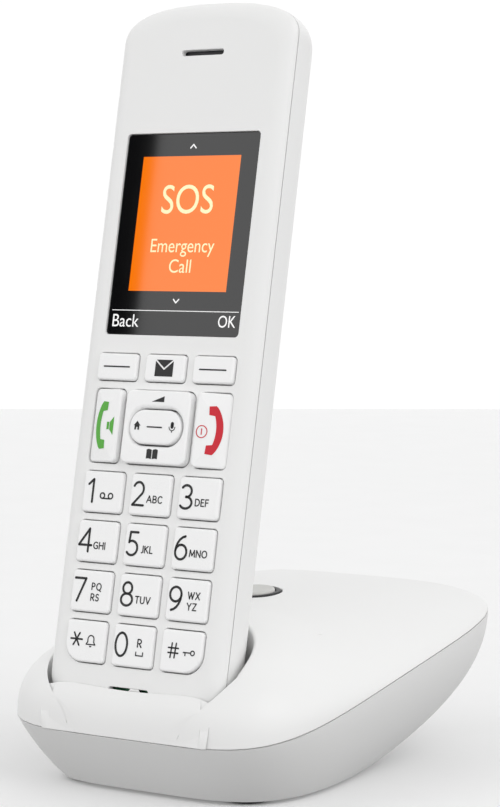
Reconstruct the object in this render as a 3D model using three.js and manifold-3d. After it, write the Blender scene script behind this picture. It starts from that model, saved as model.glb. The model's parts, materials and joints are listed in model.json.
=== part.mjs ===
// Cordless telephone handset standing in its charging base. Millimetres, +Z up, ground at Z = 0.
// The handset faces -Y and leans back. The base's outline is centred on X = 0, Y = 0.
import * as THREE from 'three';
import { mergeVertices } from 'three/addons/utils/BufferGeometryUtils.js';
import Module from 'manifold-3d';

const wasm = await Module();
wasm.setup();

// ---- driving dimensions ----------------------------------------------------------------
const DEG = Math.PI / 180;
const GAP = 0.3;                  // clearance between neighbouring pieces
const LEAN = 11.1 * DEG;          // how far the handset leans back
const FACE_Y = -30.47;            // the handset's face at the height of the display's centre
const FACE_Z = 125.91;

const HAND_HALF = 24.2;           // half the handset's width
const HAND_TOP = 54;              // top and bottom, measured along the handset from the display
const HAND_BOTTOM = -110;
const TOP_CORNER = 9;             // length of the rounded end
const BOTTOM_CORNER = 10;
const TOP_POWER = 2.6;            // squareness of the rounded ends
const BOTTOM_POWER = 3;
const EDGE = 4;                   // width of the face's rounded edge
const PARTING = 2.7;              // depth of the line where front and rear shells meet
const REAR_DEPTH = 21.3;          // depth of the rear shell's half ellipse
const REAR_END = 12;              // how far the rear shell's ends draw in
const WALL = 1.8;
const FRONT_WALL = 1.5;

const WINDOW = [37.2, 46.6];
const WINDOW_RECESS = 0.5;
const GLASS = 0.9;
const KEY_PROUD = 0.8;            // key faces in front of the handset's face
const KEY_FLANGE = 0.4;           // width and thickness of the rim behind the shell
const MIC_B = -104.5;             // the microphone, below the base's lip when docked
const KEY_PITCH = [13.45, 11.3];
const KEY_SIZE = [11.1, 9.36];
const FIRST_ROW = -59.66;
const SOFT_ROW = -30.9;
const SOFT_SIZE = [11.1, 6.15];
const CALL_ROW = -44.45;
const CALL_SIZE = [8.6, 16.8];
const CALL_X = 14.85;
const NAV_SIZE = [18.1, 16.75];
const CENTRE_SIZE = [14.2, 7.8];
const CENTRE_PROUD = 1.5;

const BASE_HALF_X = 41.2;         // the base's outline at its parting line
const BASE_HALF_Y = 53.4;
const OUTLINE_POWER = 4.9;
const PART_FRONT_Z = 14;          // parting line's height at the front
const PART_RISE = 0.2126;         // its rise towards the back, mm per mm
const CROWN = 19.65;              // height of the top shell above the parting line
const CROWN_FALL = 0.045;
const CROWN_SHIFT = 16;           // how far the crown sits in front of the middle
const CROWN_SQUARE = 2.8;         // how much rounder than the outline the crown's plan is
const SIDE_POWER = 1.675;         // steepness of the dome at its sides, and what the front adds
const FRONT_POWER = 2.64;
const SIDE_ROUND = 1.6;           // roundness of the dome at its sides, and what the front adds
const FRONT_ROUND = 2.05;
const LIP_DIP = 3.2;              // how far the lip dips in its middle
const LIP_HALF = 24;
const LIP_Y = -51;
const LIP_FADE = 7;
const BOWL = 33;                  // depth of the lower shell below the parting line
const BOWL_SQUARE = 3.8;
const BOWL_POWER = [3.1, -1.05];  // the bowl's profile at the front, and what the back adds
const BOWL_ROUND = [1.05, 1.15];
const FOOT_LIFT = 0.9;            // the lower shell's flat underside above the ground
const BASE_WALL = 2;

const POCKET_SIDE = 1.5;          // space between the handset and the pocket
const POCKET_FRONT = 0.5;
const POCKET_FLOOR = -111.2;
const CUP_WALL = 1.5;
const CONTACT_X = 7;
const CONTACT_DEPTH = 12;

const COVER_HALF = 15.5;
const COVER_TOP = -18;
const COVER_BOTTOM = -72;

// ---- mesh helpers ----------------------------------------------------------------------
// Places a point of the handset: x across, b along it from the display's centre, t into it.
const hand = (x, b, t) => [
  x,
  FACE_Y + b * Math.sin(LEAN) + t * Math.cos(LEAN),
  FACE_Z + b * Math.cos(LEAN) - t * Math.sin(LEAN),
];
const upright = (x, y, z) => [x, y, z];
const facingBack = (x, z, y) => [x, y, z];

function toManifold(geometry) {
  const bare = new THREE.BufferGeometry();
  bare.setAttribute('position', geometry.getAttribute('position').clone());
  if (geometry.index) bare.setIndex(geometry.index.clone());
  const merged = mergeVertices(bare, 1e-5);
  return new wasm.Manifold(new wasm.Mesh({
    numProp: 3,
    vertProperties: new Float32Array(merged.getAttribute('position').array),
    triVerts: new Uint32Array(merged.index.array),
  }));
}

function toGeometry(body) {
  const mesh = body.getMesh();
  const geometry = new THREE.BufferGeometry();
  geometry.setAttribute('position', new THREE.BufferAttribute(new Float32Array(mesh.vertProperties), 3));
  geometry.setIndex(new THREE.BufferAttribute(new Uint32Array(mesh.triVerts), 1));
  return geometry;
}

// A closed solid through rings of equal length, each end closed by a fan.
function loft(rings) {
  const count = rings[0].length;
  const points = rings.flat();
  const faces = [];
  for (let i = 0; i + 1 < rings.length; i += 1) {
    for (let j = 0; j < count; j += 1) {
      const k = (j + 1) % count;
      const [a, b, c, d] = [i * count + j, i * count + k, (i + 1) * count + k, (i + 1) * count + j];
      faces.push([a, b, c], [a, c, d]);
    }
  }
  for (const end of [0, rings.length - 1]) {
    const ring = rings[end];
    const middle = [0, 1, 2].map((axis) => ring.reduce((sum, p) => sum + p[axis], 0) / count);
    points.push(middle);
    for (let j = 0; j < count; j += 1) {
      const edge = [end * count + j, end * count + ((j + 1) % count)];
      faces.push(end ? [...edge, points.length - 1] : [edge[1], edge[0], points.length - 1]);
    }
  }
  let volume = 0;
  for (const [a, b, c] of faces) {
    const [p, q, r] = [points[a], points[b], points[c]];
    volume += p[0] * (q[1] * r[2] - q[2] * r[1]);
    volume += p[1] * (q[2] * r[0] - q[0] * r[2]);
    volume += p[2] * (q[0] * r[1] - q[1] * r[0]);
  }
  const ordered = volume < 0 ? faces.map(([a, b, c]) => [a, c, b]) : faces;
  const geometry = new THREE.BufferGeometry();
  geometry.setAttribute('position', new THREE.Float32BufferAttribute(points.flat(), 3));
  geometry.setIndex(ordered.flat());
  return toManifold(geometry);
}

// Layers of one outline: levels are [depth, inset], outline(inset) gives its points.
const stack = (outline, levels, place) => loft(
  levels.map(([depth, inset]) => outline(inset).map(([x, y]) => place(x, y, depth))),
);

// Rounded rectangle, corners [top right, top left, bottom left, bottom right].
function rounded(width, height, radius, steps = 3, centre = [0, 0]) {
  const corners = Array.isArray(radius) ? radius : [radius, radius, radius, radius];
  return (inset) => {
    const points = [];
    corners.forEach((corner, i) => {
      const r = Math.max(corner - inset, 0.1);
      const sx = i === 0 || i === 3 ? 1 : -1;
      const sy = i < 2 ? 1 : -1;
      for (let k = 0; k <= steps; k += 1) {
        const angle = (i + k / steps) * 90 * DEG;
        points.push([
          centre[0] + sx * (width / 2 - inset - r) + r * Math.cos(angle),
          centre[1] + sy * (height / 2 - inset - r) + r * Math.sin(angle),
        ]);
      }
    });
    return points;
  };
}

const disc = (radius, steps, centre = [0, 0]) => (inset) => Array.from({ length: steps }, (_, k) => [
  centre[0] + (radius - inset) * Math.cos((k / steps) * 360 * DEG),
  centre[1] + (radius - inset) * Math.sin((k / steps) * 360 * DEG),
]);

const box = (x, y, z, place = upright) => stack(
  () => [[x[0], y[0]], [x[1], y[0]], [x[1], y[1]], [x[0], y[1]]],
  [[z[0], 0], [z[1], 0]],
  place,
);

const signedPower = (value, power) => Math.sign(value) * Math.abs(value) ** power;

// ---- handset shells --------------------------------------------------------------------
function handsetOutline(side, end) {
  const half = HAND_HALF - side;
  const points = [];
  const cap = (level, length, power, steps, start) => {
    for (let k = 0; k <= steps; k += 1) {
      const angle = (start + (k / steps) * 180) * DEG;
      points.push([
        half * signedPower(Math.cos(angle), 2 / power),
        level + length * signedPower(Math.sin(angle), 2 / power),
      ]);
    }
  };
  cap(HAND_TOP - end - TOP_CORNER, TOP_CORNER, TOP_POWER, 14, 0);
  cap(HAND_BOTTOM + end + BOTTOM_CORNER, BOTTOM_CORNER, BOTTOM_POWER, 10, 180);
  return points;
}

const handsetRing = (depth, side, end) => handsetOutline(side, end).map(([x, b]) => hand(x, b, depth));

function frontSolid() {
  const rings = [0, 22, 45, 68].map((a) => {
    const inset = EDGE * (1 - Math.sin(a * DEG));
    return handsetRing(PARTING * (1 - Math.cos(a * DEG)), inset, inset);
  });
  rings.push(handsetRing(PARTING - GAP / 2, 0, 0));
  return loft(rings);
}

function rearSolid(offset, start) {
  const rings = [handsetRing(start, offset, offset)];
  for (const a of [12, 26, 40, 53, 65, 75, 84]) {
    const drawn = 1 - Math.cos(a * DEG);
    rings.push(handsetRing(
      PARTING + (REAR_DEPTH - offset) * Math.sin(a * DEG),
      offset + (HAND_HALF - offset) * drawn,
      offset + REAR_END * drawn,
    ));
  }
  return loft(rings);
}

const keyShapes = [];
function addKey(name, x, b, size, radius, options = {}) {
  keyShapes.push({ name, x, b, size, radius, rim: FRONT_WALL + GAP, ...options });
}
['soft_key_left', 'message_key', 'soft_key_right'].forEach((name, i) => {
  addKey(name, (i - 1) * KEY_PITCH[0], SOFT_ROW, SOFT_SIZE, 0.9);
});
addKey('talk_key', -CALL_X, CALL_ROW, CALL_SIZE, 1.2);
addKey('end_key', CALL_X, CALL_ROW, CALL_SIZE, 1.2);
// The rocker's rim sits deeper, so that it clears the shell when it tilts.
addKey('nav_rocker', 0, CALL_ROW, NAV_SIZE, 1.6, { hole: true, rim: FRONT_WALL + 0.5 });
const rowNames = [['1', '2', '3'], ['4', '5', '6'], ['7', '8', '9'], ['star', '0', 'hash']];
rowNames.forEach((names, row) => names.forEach((name, column) => {
  const radius = [0.9, 0.9, name === 'star' ? 4.5 : 0.9, name === 'hash' ? 4.5 : 0.9];
  addKey(`key_${name}`, (column - 1) * KEY_PITCH[0], FIRST_ROW - row * KEY_PITCH[1], KEY_SIZE, radius);
}));

const keyOutline = (key, grow = 0) => {
  const radius = Array.isArray(key.radius) ? key.radius.map((r) => r + grow) : key.radius + grow;
  return rounded(key.size[0] + 2 * grow, key.size[1] + 2 * grow, radius, 3, [key.x, key.b]);
};

const centreKey = rounded(CENTRE_SIZE[0], CENTRE_SIZE[1], CENTRE_SIZE[1] / 2 - 0.05, 5, [0, CALL_ROW]);

function keySolid(key) {
  let body = stack(keyOutline(key), [
    [-KEY_PROUD, 0.45], [-KEY_PROUD + 0.12, 0.15], [-KEY_PROUD + 0.45, 0],
    [key.rim, 0], [key.rim, -KEY_FLANGE], [key.rim + KEY_FLANGE, -KEY_FLANGE],
  ], hand);
  if (key.hole) {
    body = body.subtract(stack(centreKey, [[-3, -0.6], [4, -0.6]], hand));
  }
  return body;
}

let frontShell = frontSolid();
frontShell = frontShell.subtract(loft([
  handsetRing(FRONT_WALL, 2, 2),
  handsetRing(PARTING + 1, 2, 2),
]));
const windowOutline = rounded(WINDOW[0], WINDOW[1], 0.8);
frontShell = frontShell.subtract(stack(windowOutline, [[-1, -GAP], [FRONT_WALL + 1, -GAP]], hand));
const slotOutline = rounded(11.7, 1.3, 0.6, 2, [0, 42]);
frontShell = frontShell.subtract(stack(slotOutline, [[-1, 0], [FRONT_WALL + 1, 0]], hand));
const micHole = disc(0.6, 8, [0, MIC_B]);
frontShell = frontShell.subtract(stack(micHole, [[-1, 0], [FRONT_WALL + 1, 0]], hand));
for (const key of keyShapes) {
  frontShell = frontShell.subtract(stack(keyOutline(key), [[-2, -GAP], [PARTING, -GAP]], hand));
}

const rearOuter = rearSolid(0, PARTING + GAP / 2);
const rearSkin = rearOuter.subtract(rearSolid(WALL, PARTING - 1));
const coverOpening = box([-COVER_HALF - GAP, COVER_HALF + GAP], [COVER_BOTTOM - GAP, COVER_TOP + GAP], [12, 30], hand);
const coverBox = box([-COVER_HALF, COVER_HALF], [COVER_BOTTOM, COVER_TOP], [12, 30], hand);
const batteryCover = rearSkin.intersect(coverBox);
const trayOuter = box(
  [-COVER_HALF - GAP - 1.4, COVER_HALF + GAP + 1.4],
  [COVER_BOTTOM - GAP - 1.4, COVER_TOP + GAP + 1.4],
  [6.2, 30],
  hand,
);
const trayInner = box([-COVER_HALF - GAP, COVER_HALF + GAP], [COVER_BOTTOM - GAP, COVER_TOP + GAP], [7.4, 30], hand);
let rearShell = rearSkin.add(trayOuter.intersect(rearOuter)).subtract(trayInner).subtract(coverOpening);
for (const offset of [-5, -2.5, 0, 2.5, 5]) {
  const slot = rounded(9, 1.1, 0.5, 2, [0, 14 + offset]);
  rearShell = rearShell.subtract(stack(slot, [[16, 0], [30, 0]], hand));
}
const padBox = (x, grow) => box(
  [x - 2.4 - grow, x + 2.4 + grow],
  [-109.4 - 3 * grow, -106.8 + 3 * grow],
  [CONTACT_DEPTH - 3 - grow, CONTACT_DEPTH + 3 + grow],
  hand,
);
for (const x of [-CONTACT_X, CONTACT_X]) rearShell = rearShell.subtract(padBox(x, GAP));

// ---- base shells -----------------------------------------------------------------------
const partingHeight = (y) => PART_FRONT_Z + PART_RISE * (y + BASE_HALF_Y);

function baseRing(scale, power, shift, shrink, height, steps = 48) {
  const ring = [];
  for (let k = 0; k < steps; k += 1) {
    const angle = (k / steps) * 2 * Math.PI;
    const [c, s] = [Math.cos(angle), Math.sin(angle)];
    const x = (BASE_HALF_X - shrink) * scale * signedPower(c, 2 / power);
    const y = (BASE_HALF_Y - shrink) * scale * signedPower(s, 2 / power) - shift;
    const away = Math.atan2((y + shift) / BASE_HALF_Y, x / BASE_HALF_X);
    ring.push([x, y, height(y, Math.max(0, -Math.sin(away)) ** 2, x)]);
  }
  return ring;
}

// The top shell's rise above the parting line; ahead is 1 straight ahead, 0 at the sides.
const crownRise = (scale, y, ahead, shrink) => (
  (CROWN - shrink - CROWN_FALL * (y + BASE_HALF_Y))
  * (1 - scale ** (SIDE_POWER + FRONT_POWER * ahead)) ** (1 / (SIDE_ROUND + FRONT_ROUND * ahead))
);

const lipDip = (x, y) => (
  LIP_DIP * Math.max(0, 1 - (x / LIP_HALF) ** 2) * Math.exp(-((Math.max(0, y - LIP_Y) / LIP_FADE) ** 2))
);

function domeSolid(shrink, start) {
  const scales = [1, 0.99, 0.975, 0.95, 0.92, 0.88, 0.81, 0.7, 0.52, 0.3, 0.1];
  const rings = [baseRing(1, OUTLINE_POWER, 0, shrink, (y) => partingHeight(y) + start)];
  for (const scale of scales.slice(1)) {
    const power = OUTLINE_POWER - CROWN_SQUARE * (1 - scale);
    const lowest = start + 0.6 * (1 - scale);
    rings.push(baseRing(scale, power, CROWN_SHIFT * (1 - scale), shrink, (y, ahead, x) => (
      partingHeight(y) + Math.max(crownRise(scale, y, ahead, shrink) - lipDip(x, y), lowest)
    )));
  }
  return loft(rings);
}

function bowlSolid(shrink, start) {
  const rings = [baseRing(1, OUTLINE_POWER, 0, shrink, (y) => partingHeight(y) + start)];
  for (const scale of [0.99, 0.96, 0.91, 0.84, 0.75, 0.64, 0.5, 0.33, 0.12]) {
    const power = OUTLINE_POWER - BOWL_SQUARE * (1 - scale);
    rings.push(baseRing(scale, power, 0, shrink, (y) => {
      const back = (y + BASE_HALF_Y) / (2 * BASE_HALF_Y);
      const inward = BOWL_POWER[0] + BOWL_POWER[1] * back;
      const round = BOWL_ROUND[0] + BOWL_ROUND[1] * back;
      return partingHeight(y) - (BOWL - shrink) * (1 - scale ** inward) ** (1 / round);
    }));
  }
  return loft(rings);
}

// The pocket's plan across the handset: a flat front with rounded corners and a half ellipse.
function pocketOutline(side, front) {
  const half = HAND_HALF + side;
  const points = [];
  for (let k = 0; k <= 4; k += 1) {
    const angle = k * 22.5 * DEG;
    points.push([half - EDGE + EDGE * Math.sin(angle), PARTING - (PARTING + front) * Math.cos(angle)]);
  }
  for (let k = 1; k < 18; k += 1) {
    const angle = k * 10 * DEG;
    points.push([half * Math.cos(angle), PARTING + (REAR_DEPTH + side) * Math.sin(angle)]);
  }
  for (let k = 4; k >= 0; k -= 1) {
    const angle = k * 22.5 * DEG;
    points.push([-half + EDGE - EDGE * Math.sin(angle), PARTING - (PARTING + front) * Math.cos(angle)]);
  }
  return points;
}
const pocketPrism = (side, front, low, high) => loft(
  [low, high].map((b) => pocketOutline(side, front).map(([x, t]) => hand(x, b, t))),
);

const domeOuter = domeSolid(0, GAP / 2);
const bowlOuter = bowlSolid(0, -GAP / 2);
const cupRegion = domeOuter.add(box([-34, 34], [-48, 5], [5, 24]));
let upperShell = domeOuter.subtract(domeSolid(BASE_WALL, -3));
upperShell = upperShell.add(
  pocketPrism(POCKET_SIDE + CUP_WALL, POCKET_FRONT + CUP_WALL, POCKET_FLOOR - CUP_WALL, -60).intersect(cupRegion),
);
upperShell = upperShell.subtract(pocketPrism(POCKET_SIDE, POCKET_FRONT, POCKET_FLOOR, -40));
for (const x of [-CONTACT_X, CONTACT_X]) {
  const bore = [POCKET_FLOOR - 6, POCKET_FLOOR + 3];
  const rings = bore.map((b) => disc(1.5, 12, [x, CONTACT_DEPTH])(0).map(([px, t]) => hand(px, b, t)));
  upperShell = upperShell.subtract(loft(rings));
}

// Page button on the crown, along the crown's own normal.
const PAGE_TILT = 4.4 * DEG;
const PAGE_Y = -2.3;
const PAGE_Z = 41.45;
const STEM_LENGTH = 29.2;
const page = (x, y, h) => [
  x,
  PAGE_Y + y * Math.cos(PAGE_TILT) - h * Math.sin(PAGE_TILT),
  PAGE_Z + y * Math.sin(PAGE_TILT) + h * Math.cos(PAGE_TILT),
];
const PAGE_RADIUS = 5.2;
const RING_RADIUS = 6.6;
upperShell = upperShell.subtract(stack(disc(RING_RADIUS + GAP, 32), [[-8, 0], [8, 0]], page));

const SCREWS = [[-24, -14], [24, -14]];
for (const centre of SCREWS) {
  const boss = stack(disc(3, 16, centre), [[6, 0], [60, 0]], upright).intersect(domeSolid(1, -20));
  upperShell = upperShell.add(boss).subtract(stack(disc(1.5, 12, centre), [[0, 0], [20, 0]], upright));
}

let lowerShell = bowlOuter.subtract(bowlSolid(BASE_WALL, 3));
const ALCOVE = { x: 15, y: 31, top: 22, wall: 1.6 };
const underside = box([-60, 60], [-70, 70], [-30, FOOT_LIFT]);
const floorSlab = box([-60, 60], [-70, 70], [FOOT_LIFT, FOOT_LIFT + BASE_WALL]);
lowerShell = lowerShell.add(floorSlab.intersect(bowlOuter));
lowerShell = lowerShell.add(box(
  [-ALCOVE.x - ALCOVE.wall, ALCOVE.x + ALCOVE.wall],
  [ALCOVE.y - ALCOVE.wall, 70],
  [0, ALCOVE.top + ALCOVE.wall],
).intersect(bowlOuter));
lowerShell = lowerShell.subtract(box([-ALCOVE.x, ALCOVE.x], [ALCOVE.y, 70], [-5, ALCOVE.top]));
lowerShell = lowerShell.subtract(underside);

const FEET = [
  ['foot_front_left', -22, -36], ['foot_front_right', 22, -36],
  ['foot_rear_left', -12.5, 7], ['foot_rear_right', 12.5, 7],
];
const FOOT_RADIUS = 4.5;
const FOOT_HEIGHT = 1.5;
for (const [, x, y] of FEET) {
  lowerShell = lowerShell.subtract(
    stack(disc(FOOT_RADIUS + GAP, 20, [x, y]), [[0, 0], [FOOT_HEIGHT + GAP, 0]], upright),
  );
}
for (const centre of SCREWS) {
  lowerShell = lowerShell.subtract(stack(disc(3, 16, centre), [[0, 0], [2, 0]], upright));
  lowerShell = lowerShell.subtract(stack(disc(1.5, 12, centre), [[0, 0], [5, 0]], upright));
}

// Sockets for the telephone line and the power plug, mouths facing the back of the base.
const SOCKET_Z = [10.5, 20.5];
const SOCKET_Y = [17, ALCOVE.y - ALCOVE.wall - GAP];
const SOCKETS = [
  { name: 'line_socket', x: [-13.5, -1.5], mouthX: [-12.3, -2.7], mouthZ: [11.7, 19.3], colour: 0x3a3a3c },
  { name: 'power_socket', x: [2, 13], mouthX: [4, 11], mouthZ: [12, 19], colour: 0x1c1c1e },
];
for (const socket of SOCKETS) {
  lowerShell = lowerShell.subtract(box(socket.mouthX, [ALCOVE.y - 3, ALCOVE.y + 1], socket.mouthZ));
}

// ---- assembly --------------------------------------------------------------------------
const group = new THREE.Group();
group.name = 'cordless_phone';
function add(name, body, colour, roughness = 0.45, metalness = 0) {
  const material = new THREE.MeshStandardMaterial({ color: colour, roughness, metalness });
  material.name = name;
  const mesh = new THREE.Mesh(toGeometry(body), material);
  mesh.name = name;
  group.add(mesh);
}

const WHITE = 0xf2f2f1;
const KEY_WHITE = 0xf7f7f7;
const METAL = 0xc9cacc;
const GREEN_BOARD = 0x2f6b46;

add('front_shell', frontShell, WHITE, 0.38);
add('rear_shell', rearShell, WHITE, 0.38);
add('battery_cover', batteryCover, WHITE, 0.38);
add('display_glass', stack(
  windowOutline,
  [[WINDOW_RECESS, 0], [WINDOW_RECESS + GLASS, 0]],
  hand,
), 0x111114, 0.08);
add('display_module', stack(
  rounded(34.9, 40, 0.5, 1, [0, 1]),
  [[WINDOW_RECESS + GLASS + GAP, 0], [3.9, 0]],
  hand,
), 0xf08a3c, 0.4);
for (const key of keyShapes) add(key.name, keySolid(key), KEY_WHITE, 0.32);
add('nav_centre_key', stack(centreKey, [
  [-CENTRE_PROUD, 0.5], [-CENTRE_PROUD + 0.15, 0.15], [-CENTRE_PROUD + 0.5, 0], [2.2, 0],
], hand), KEY_WHITE, 0.32);
add('keypad_mat', box([-20.6, 20.6], [-100.4, -25.5], [3, 3.7], hand), 0xd8d8d4, 0.75);
const boardOutline = rounded(42, 138, 3, 2, [0, -35.5]);
add('handset_board', stack(boardOutline, [[4.3, 0], [5.3, 0]], hand), GREEN_BOARD, 0.5);
add('earpiece', stack(disc(6.5, 24, [0, 42.5]), [[FRONT_WALL + GAP, 0], [5, 0]], hand), 0x2a2a2c, 0.5);
add('loudspeaker', stack(disc(10, 28, [0, 14]), [[12, 0], [17, 0]], hand), 0x2c2c2e, 0.5);
add('microphone', stack(disc(1.9, 12, [0, MIC_B]), [[FRONT_WALL + GAP, 0], [2.7, 0]], hand), 0x8f8f92, 0.4, 0.8);

const CELL_RADIUS = 5.2;
const CELL_DEPTH = 13;
const CELL_ENDS = [-67.5, -23];
function cell(x) {
  const ring = (b, radius) => disc(radius, 20, [x, CELL_DEPTH])(0).map(([px, t]) => hand(px, b, t));
  return loft([
    ring(CELL_ENDS[0], CELL_RADIUS), ring(CELL_ENDS[1] - 0.8, CELL_RADIUS),
    ring(CELL_ENDS[1] - 0.8, 1.9), ring(CELL_ENDS[1], 1.9),
  ]);
}
add('battery_cell_left', cell(-5.7), 0x3c7fb0, 0.4, 0.3);
add('battery_cell_right', cell(5.7), 0x3c7fb0, 0.4, 0.3);
const contactStrip = (low, high) => box([-11, 11], [low, high], [8.2, 17.5], hand);
add('battery_contact_top', contactStrip(CELL_ENDS[1] + 0.5, CELL_ENDS[1] + 1), METAL, 0.3, 1);
add('battery_contact_bottom', contactStrip(CELL_ENDS[0] - 1, CELL_ENDS[0] - 0.5), METAL, 0.3, 1);
[['charge_pad_left', -CONTACT_X], ['charge_pad_right', CONTACT_X]].forEach(([name, x]) => {
  add(name, padBox(x, 0), METAL, 0.3, 1);
});

add('base_upper_shell', upperShell, WHITE, 0.38);
add('base_lower_shell', lowerShell, 0xe6e6e5, 0.42);
add('base_board', box([-17, 17], [-20, 15], [6.6, 8.2]), GREEN_BOARD, 0.5);
const pageCap = stack(disc(PAGE_RADIUS, 32), [[-2.4, 0], [0.2, 0], [0.5, 0.15], [0.7, 0.6]], page);
const pageStem = stack(disc(1.5, 12), [[-STEM_LENGTH, 0], [-2, 0]], page);
add('page_button', pageCap.add(pageStem), 0xe9e9e9, 0.35);
const ringBody = stack(disc(RING_RADIUS, 32), [[-3.4, 0], [-0.1, 0], [0.1, 0.3]], page);
add('page_ring', ringBody.subtract(stack(disc(PAGE_RADIUS + GAP, 32), [[-5, 0], [5, 0]], page)), 0x1b1b1d, 0.4);
add('page_switch', box([-3, 3], [-3, 3], [8.5, 10.2]), 0x202022, 0.5);
[['charge_contact_left', -CONTACT_X], ['charge_contact_right', CONTACT_X]].forEach(([name, x]) => {
  const ring = (b, radius) => disc(radius, 14, [x, CONTACT_DEPTH])(0).map(([px, t]) => hand(px, b, t));
  add(name, loft([ring(-114.5, 1.1), ring(-110.2, 1.1), ring(-109.85, 0.8), ring(-109.7, 0.3)]), 0xd8b45a, 0.3, 1);
});
for (const socket of SOCKETS) {
  const shell = box(socket.x, SOCKET_Y, SOCKET_Z);
  add(socket.name, shell.subtract(box(socket.mouthX, [SOCKET_Y[0] + 2, 40], socket.mouthZ)), socket.colour, 0.5);
}
for (const [name, x, y] of FEET) {
  add(name, stack(disc(FOOT_RADIUS, 20, [x, y]), [[0, 0.3], [0.3, 0], [FOOT_HEIGHT, 0]], upright), 0x2b2b2d, 0.85);
}
SCREWS.forEach((centre, i) => {
  const head = stack(disc(2.6, 16, centre), [[0.3, 0], [1.7, 0]], upright);
  const shank = stack(disc(1.2, 12, centre), [[1.5, 0], [12, 0]], upright);
  const slot = box([centre[0] - 1.8, centre[0] + 1.8], [centre[1] - 0.3, centre[1] + 0.3], [0, 0.9]);
  const cross = box([centre[0] - 0.3, centre[0] + 0.3], [centre[1] - 1.8, centre[1] + 1.8], [0, 0.9]);
  add(`base_screw_${i + 1}`, head.add(shank).subtract(slot).subtract(cross), METAL, 0.35, 1);
});

export default group;
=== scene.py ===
# %% [markdown]
# # A cordless telephone standing in its charging base
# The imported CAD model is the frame: it says where every piece sits and how it moves. This lesson
# builds what the eye sees around it, piece by piece, in metres and in the same coordinates.

# %% Load the frame
import json
import math
import bmesh
import bpy
import numpy as np
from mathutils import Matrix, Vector


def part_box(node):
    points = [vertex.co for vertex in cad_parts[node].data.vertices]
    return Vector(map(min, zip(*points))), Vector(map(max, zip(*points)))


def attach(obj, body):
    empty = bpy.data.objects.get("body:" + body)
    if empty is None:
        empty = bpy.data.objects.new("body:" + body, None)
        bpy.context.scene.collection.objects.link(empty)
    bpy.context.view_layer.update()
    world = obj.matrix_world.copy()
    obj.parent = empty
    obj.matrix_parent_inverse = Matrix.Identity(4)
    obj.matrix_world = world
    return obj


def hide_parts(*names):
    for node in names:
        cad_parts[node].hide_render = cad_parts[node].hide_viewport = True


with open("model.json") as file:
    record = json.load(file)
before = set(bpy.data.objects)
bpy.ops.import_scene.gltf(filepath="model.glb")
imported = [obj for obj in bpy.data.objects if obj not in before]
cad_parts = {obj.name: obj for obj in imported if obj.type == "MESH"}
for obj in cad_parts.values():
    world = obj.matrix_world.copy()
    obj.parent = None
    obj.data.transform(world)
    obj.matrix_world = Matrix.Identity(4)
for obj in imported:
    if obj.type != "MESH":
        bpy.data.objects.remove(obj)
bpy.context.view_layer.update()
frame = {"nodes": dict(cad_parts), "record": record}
MM = 0.001
JOINTS = {joint["name"]: joint for joint in frame["record"]["behaviour"]["joints"]}

# %% [markdown]
# ## The camera
# The telephone is seen from its right and a little from above, through a long lens that keeps its
# sides nearly parallel. A camera looks along its own -Z, so its rotation is made from the
# direction it should look in. It is aimed by two angles rather than by a target, because then
# the lens needs no shift.

# %% The camera
CAMERA_PLACE = Vector((0.3588, -0.5160, 0.1254))
CAMERA_AZIMUTH = math.radians(35.0)
CAMERA_DIP = math.radians(3.6)
LENS_MM = 118.8

eye = bpy.data.cameras.new("studio_camera")
eye.lens = LENS_MM
eye.sensor_width = 36
eye.clip_start, eye.clip_end = 0.01, 20
camera = bpy.data.objects.new("studio_camera", eye)
camera.location = CAMERA_PLACE
camera.rotation_euler = (math.pi / 2 - CAMERA_DIP, 0, CAMERA_AZIMUTH)
bpy.context.scene.collection.objects.link(camera)
bpy.context.scene.camera = camera
print("camera", tuple(round(v, 3) for v in camera.location), "lens", LENS_MM)

# %% [markdown]
# ## Where things are
# The handset leans back, so its pieces are drawn in its own directions: x across it, b along it
# from the middle of the display, and t into it from its face. The two joint axes give those
# directions, and the display window's box gives the middle of the display. `on_handset` turns
# such millimetres into metres in the shared frame.

# %% The handset's own directions
ACROSS = np.array([1.0, 0.0, 0.0])
ALONG = np.array(JOINTS["handset_lift"]["axis"], float)
INWARD = np.array(JOINTS["battery_cover_off"]["axis"], float)
WINDOW_RECESS = 0.5
GLASS = 0.9
glass_low, glass_high = (np.array(corner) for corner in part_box("display_glass"))
FACE = (glass_low + glass_high) / 2 - INWARD * (WINDOW_RECESS + GLASS / 2) * MM


def on_handset(x, b, t):
    """Points of the handset, from millimetres in its own directions to metres in the frame."""
    x, b, t = np.broadcast_arrays(np.asarray(x, float), np.asarray(b, float), np.asarray(t, float))
    return FACE + MM * (x[..., None] * ACROSS + b[..., None] * ALONG + t[..., None] * INWARD)


print("face", FACE.round(4), "lean", round(math.degrees(math.asin(ALONG[1])), 2))

# %% [markdown]
# ## Meshes from rings
# Nearly everything here is a moulded shell, and a moulded shell can be described by rings that
# are joined like the hoops of a basket. `loft` does that. Openings are cut with booleans: the
# exact solver, or the manifold one for the base's top. The cutters are flared where they cross
# the face, so that every opening gets the small rounded edge that a mould leaves. Weighted
# normals then keep flats flat and rounds round.


# %% Mesh helpers
def mesh_piece(name, points, faces):
    """A new object from points in metres and faces, with its normals turned outward."""
    mesh = bpy.data.meshes.new(name)
    mesh.from_pydata([tuple(p) for p in points], [], faces)
    work = bmesh.new()
    work.from_mesh(mesh)
    bmesh.ops.remove_doubles(work, verts=work.verts, dist=1e-7)
    bmesh.ops.recalc_face_normals(work, faces=work.faces)
    closed = all(edge.is_manifold for edge in work.edges)
    if closed and work.calc_volume(signed=True) < 0:
        bmesh.ops.reverse_faces(work, faces=work.faces)
    work.to_mesh(mesh)
    work.free()
    piece = bpy.data.objects.new(name, mesh)
    bpy.context.scene.collection.objects.link(piece)
    return piece


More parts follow.
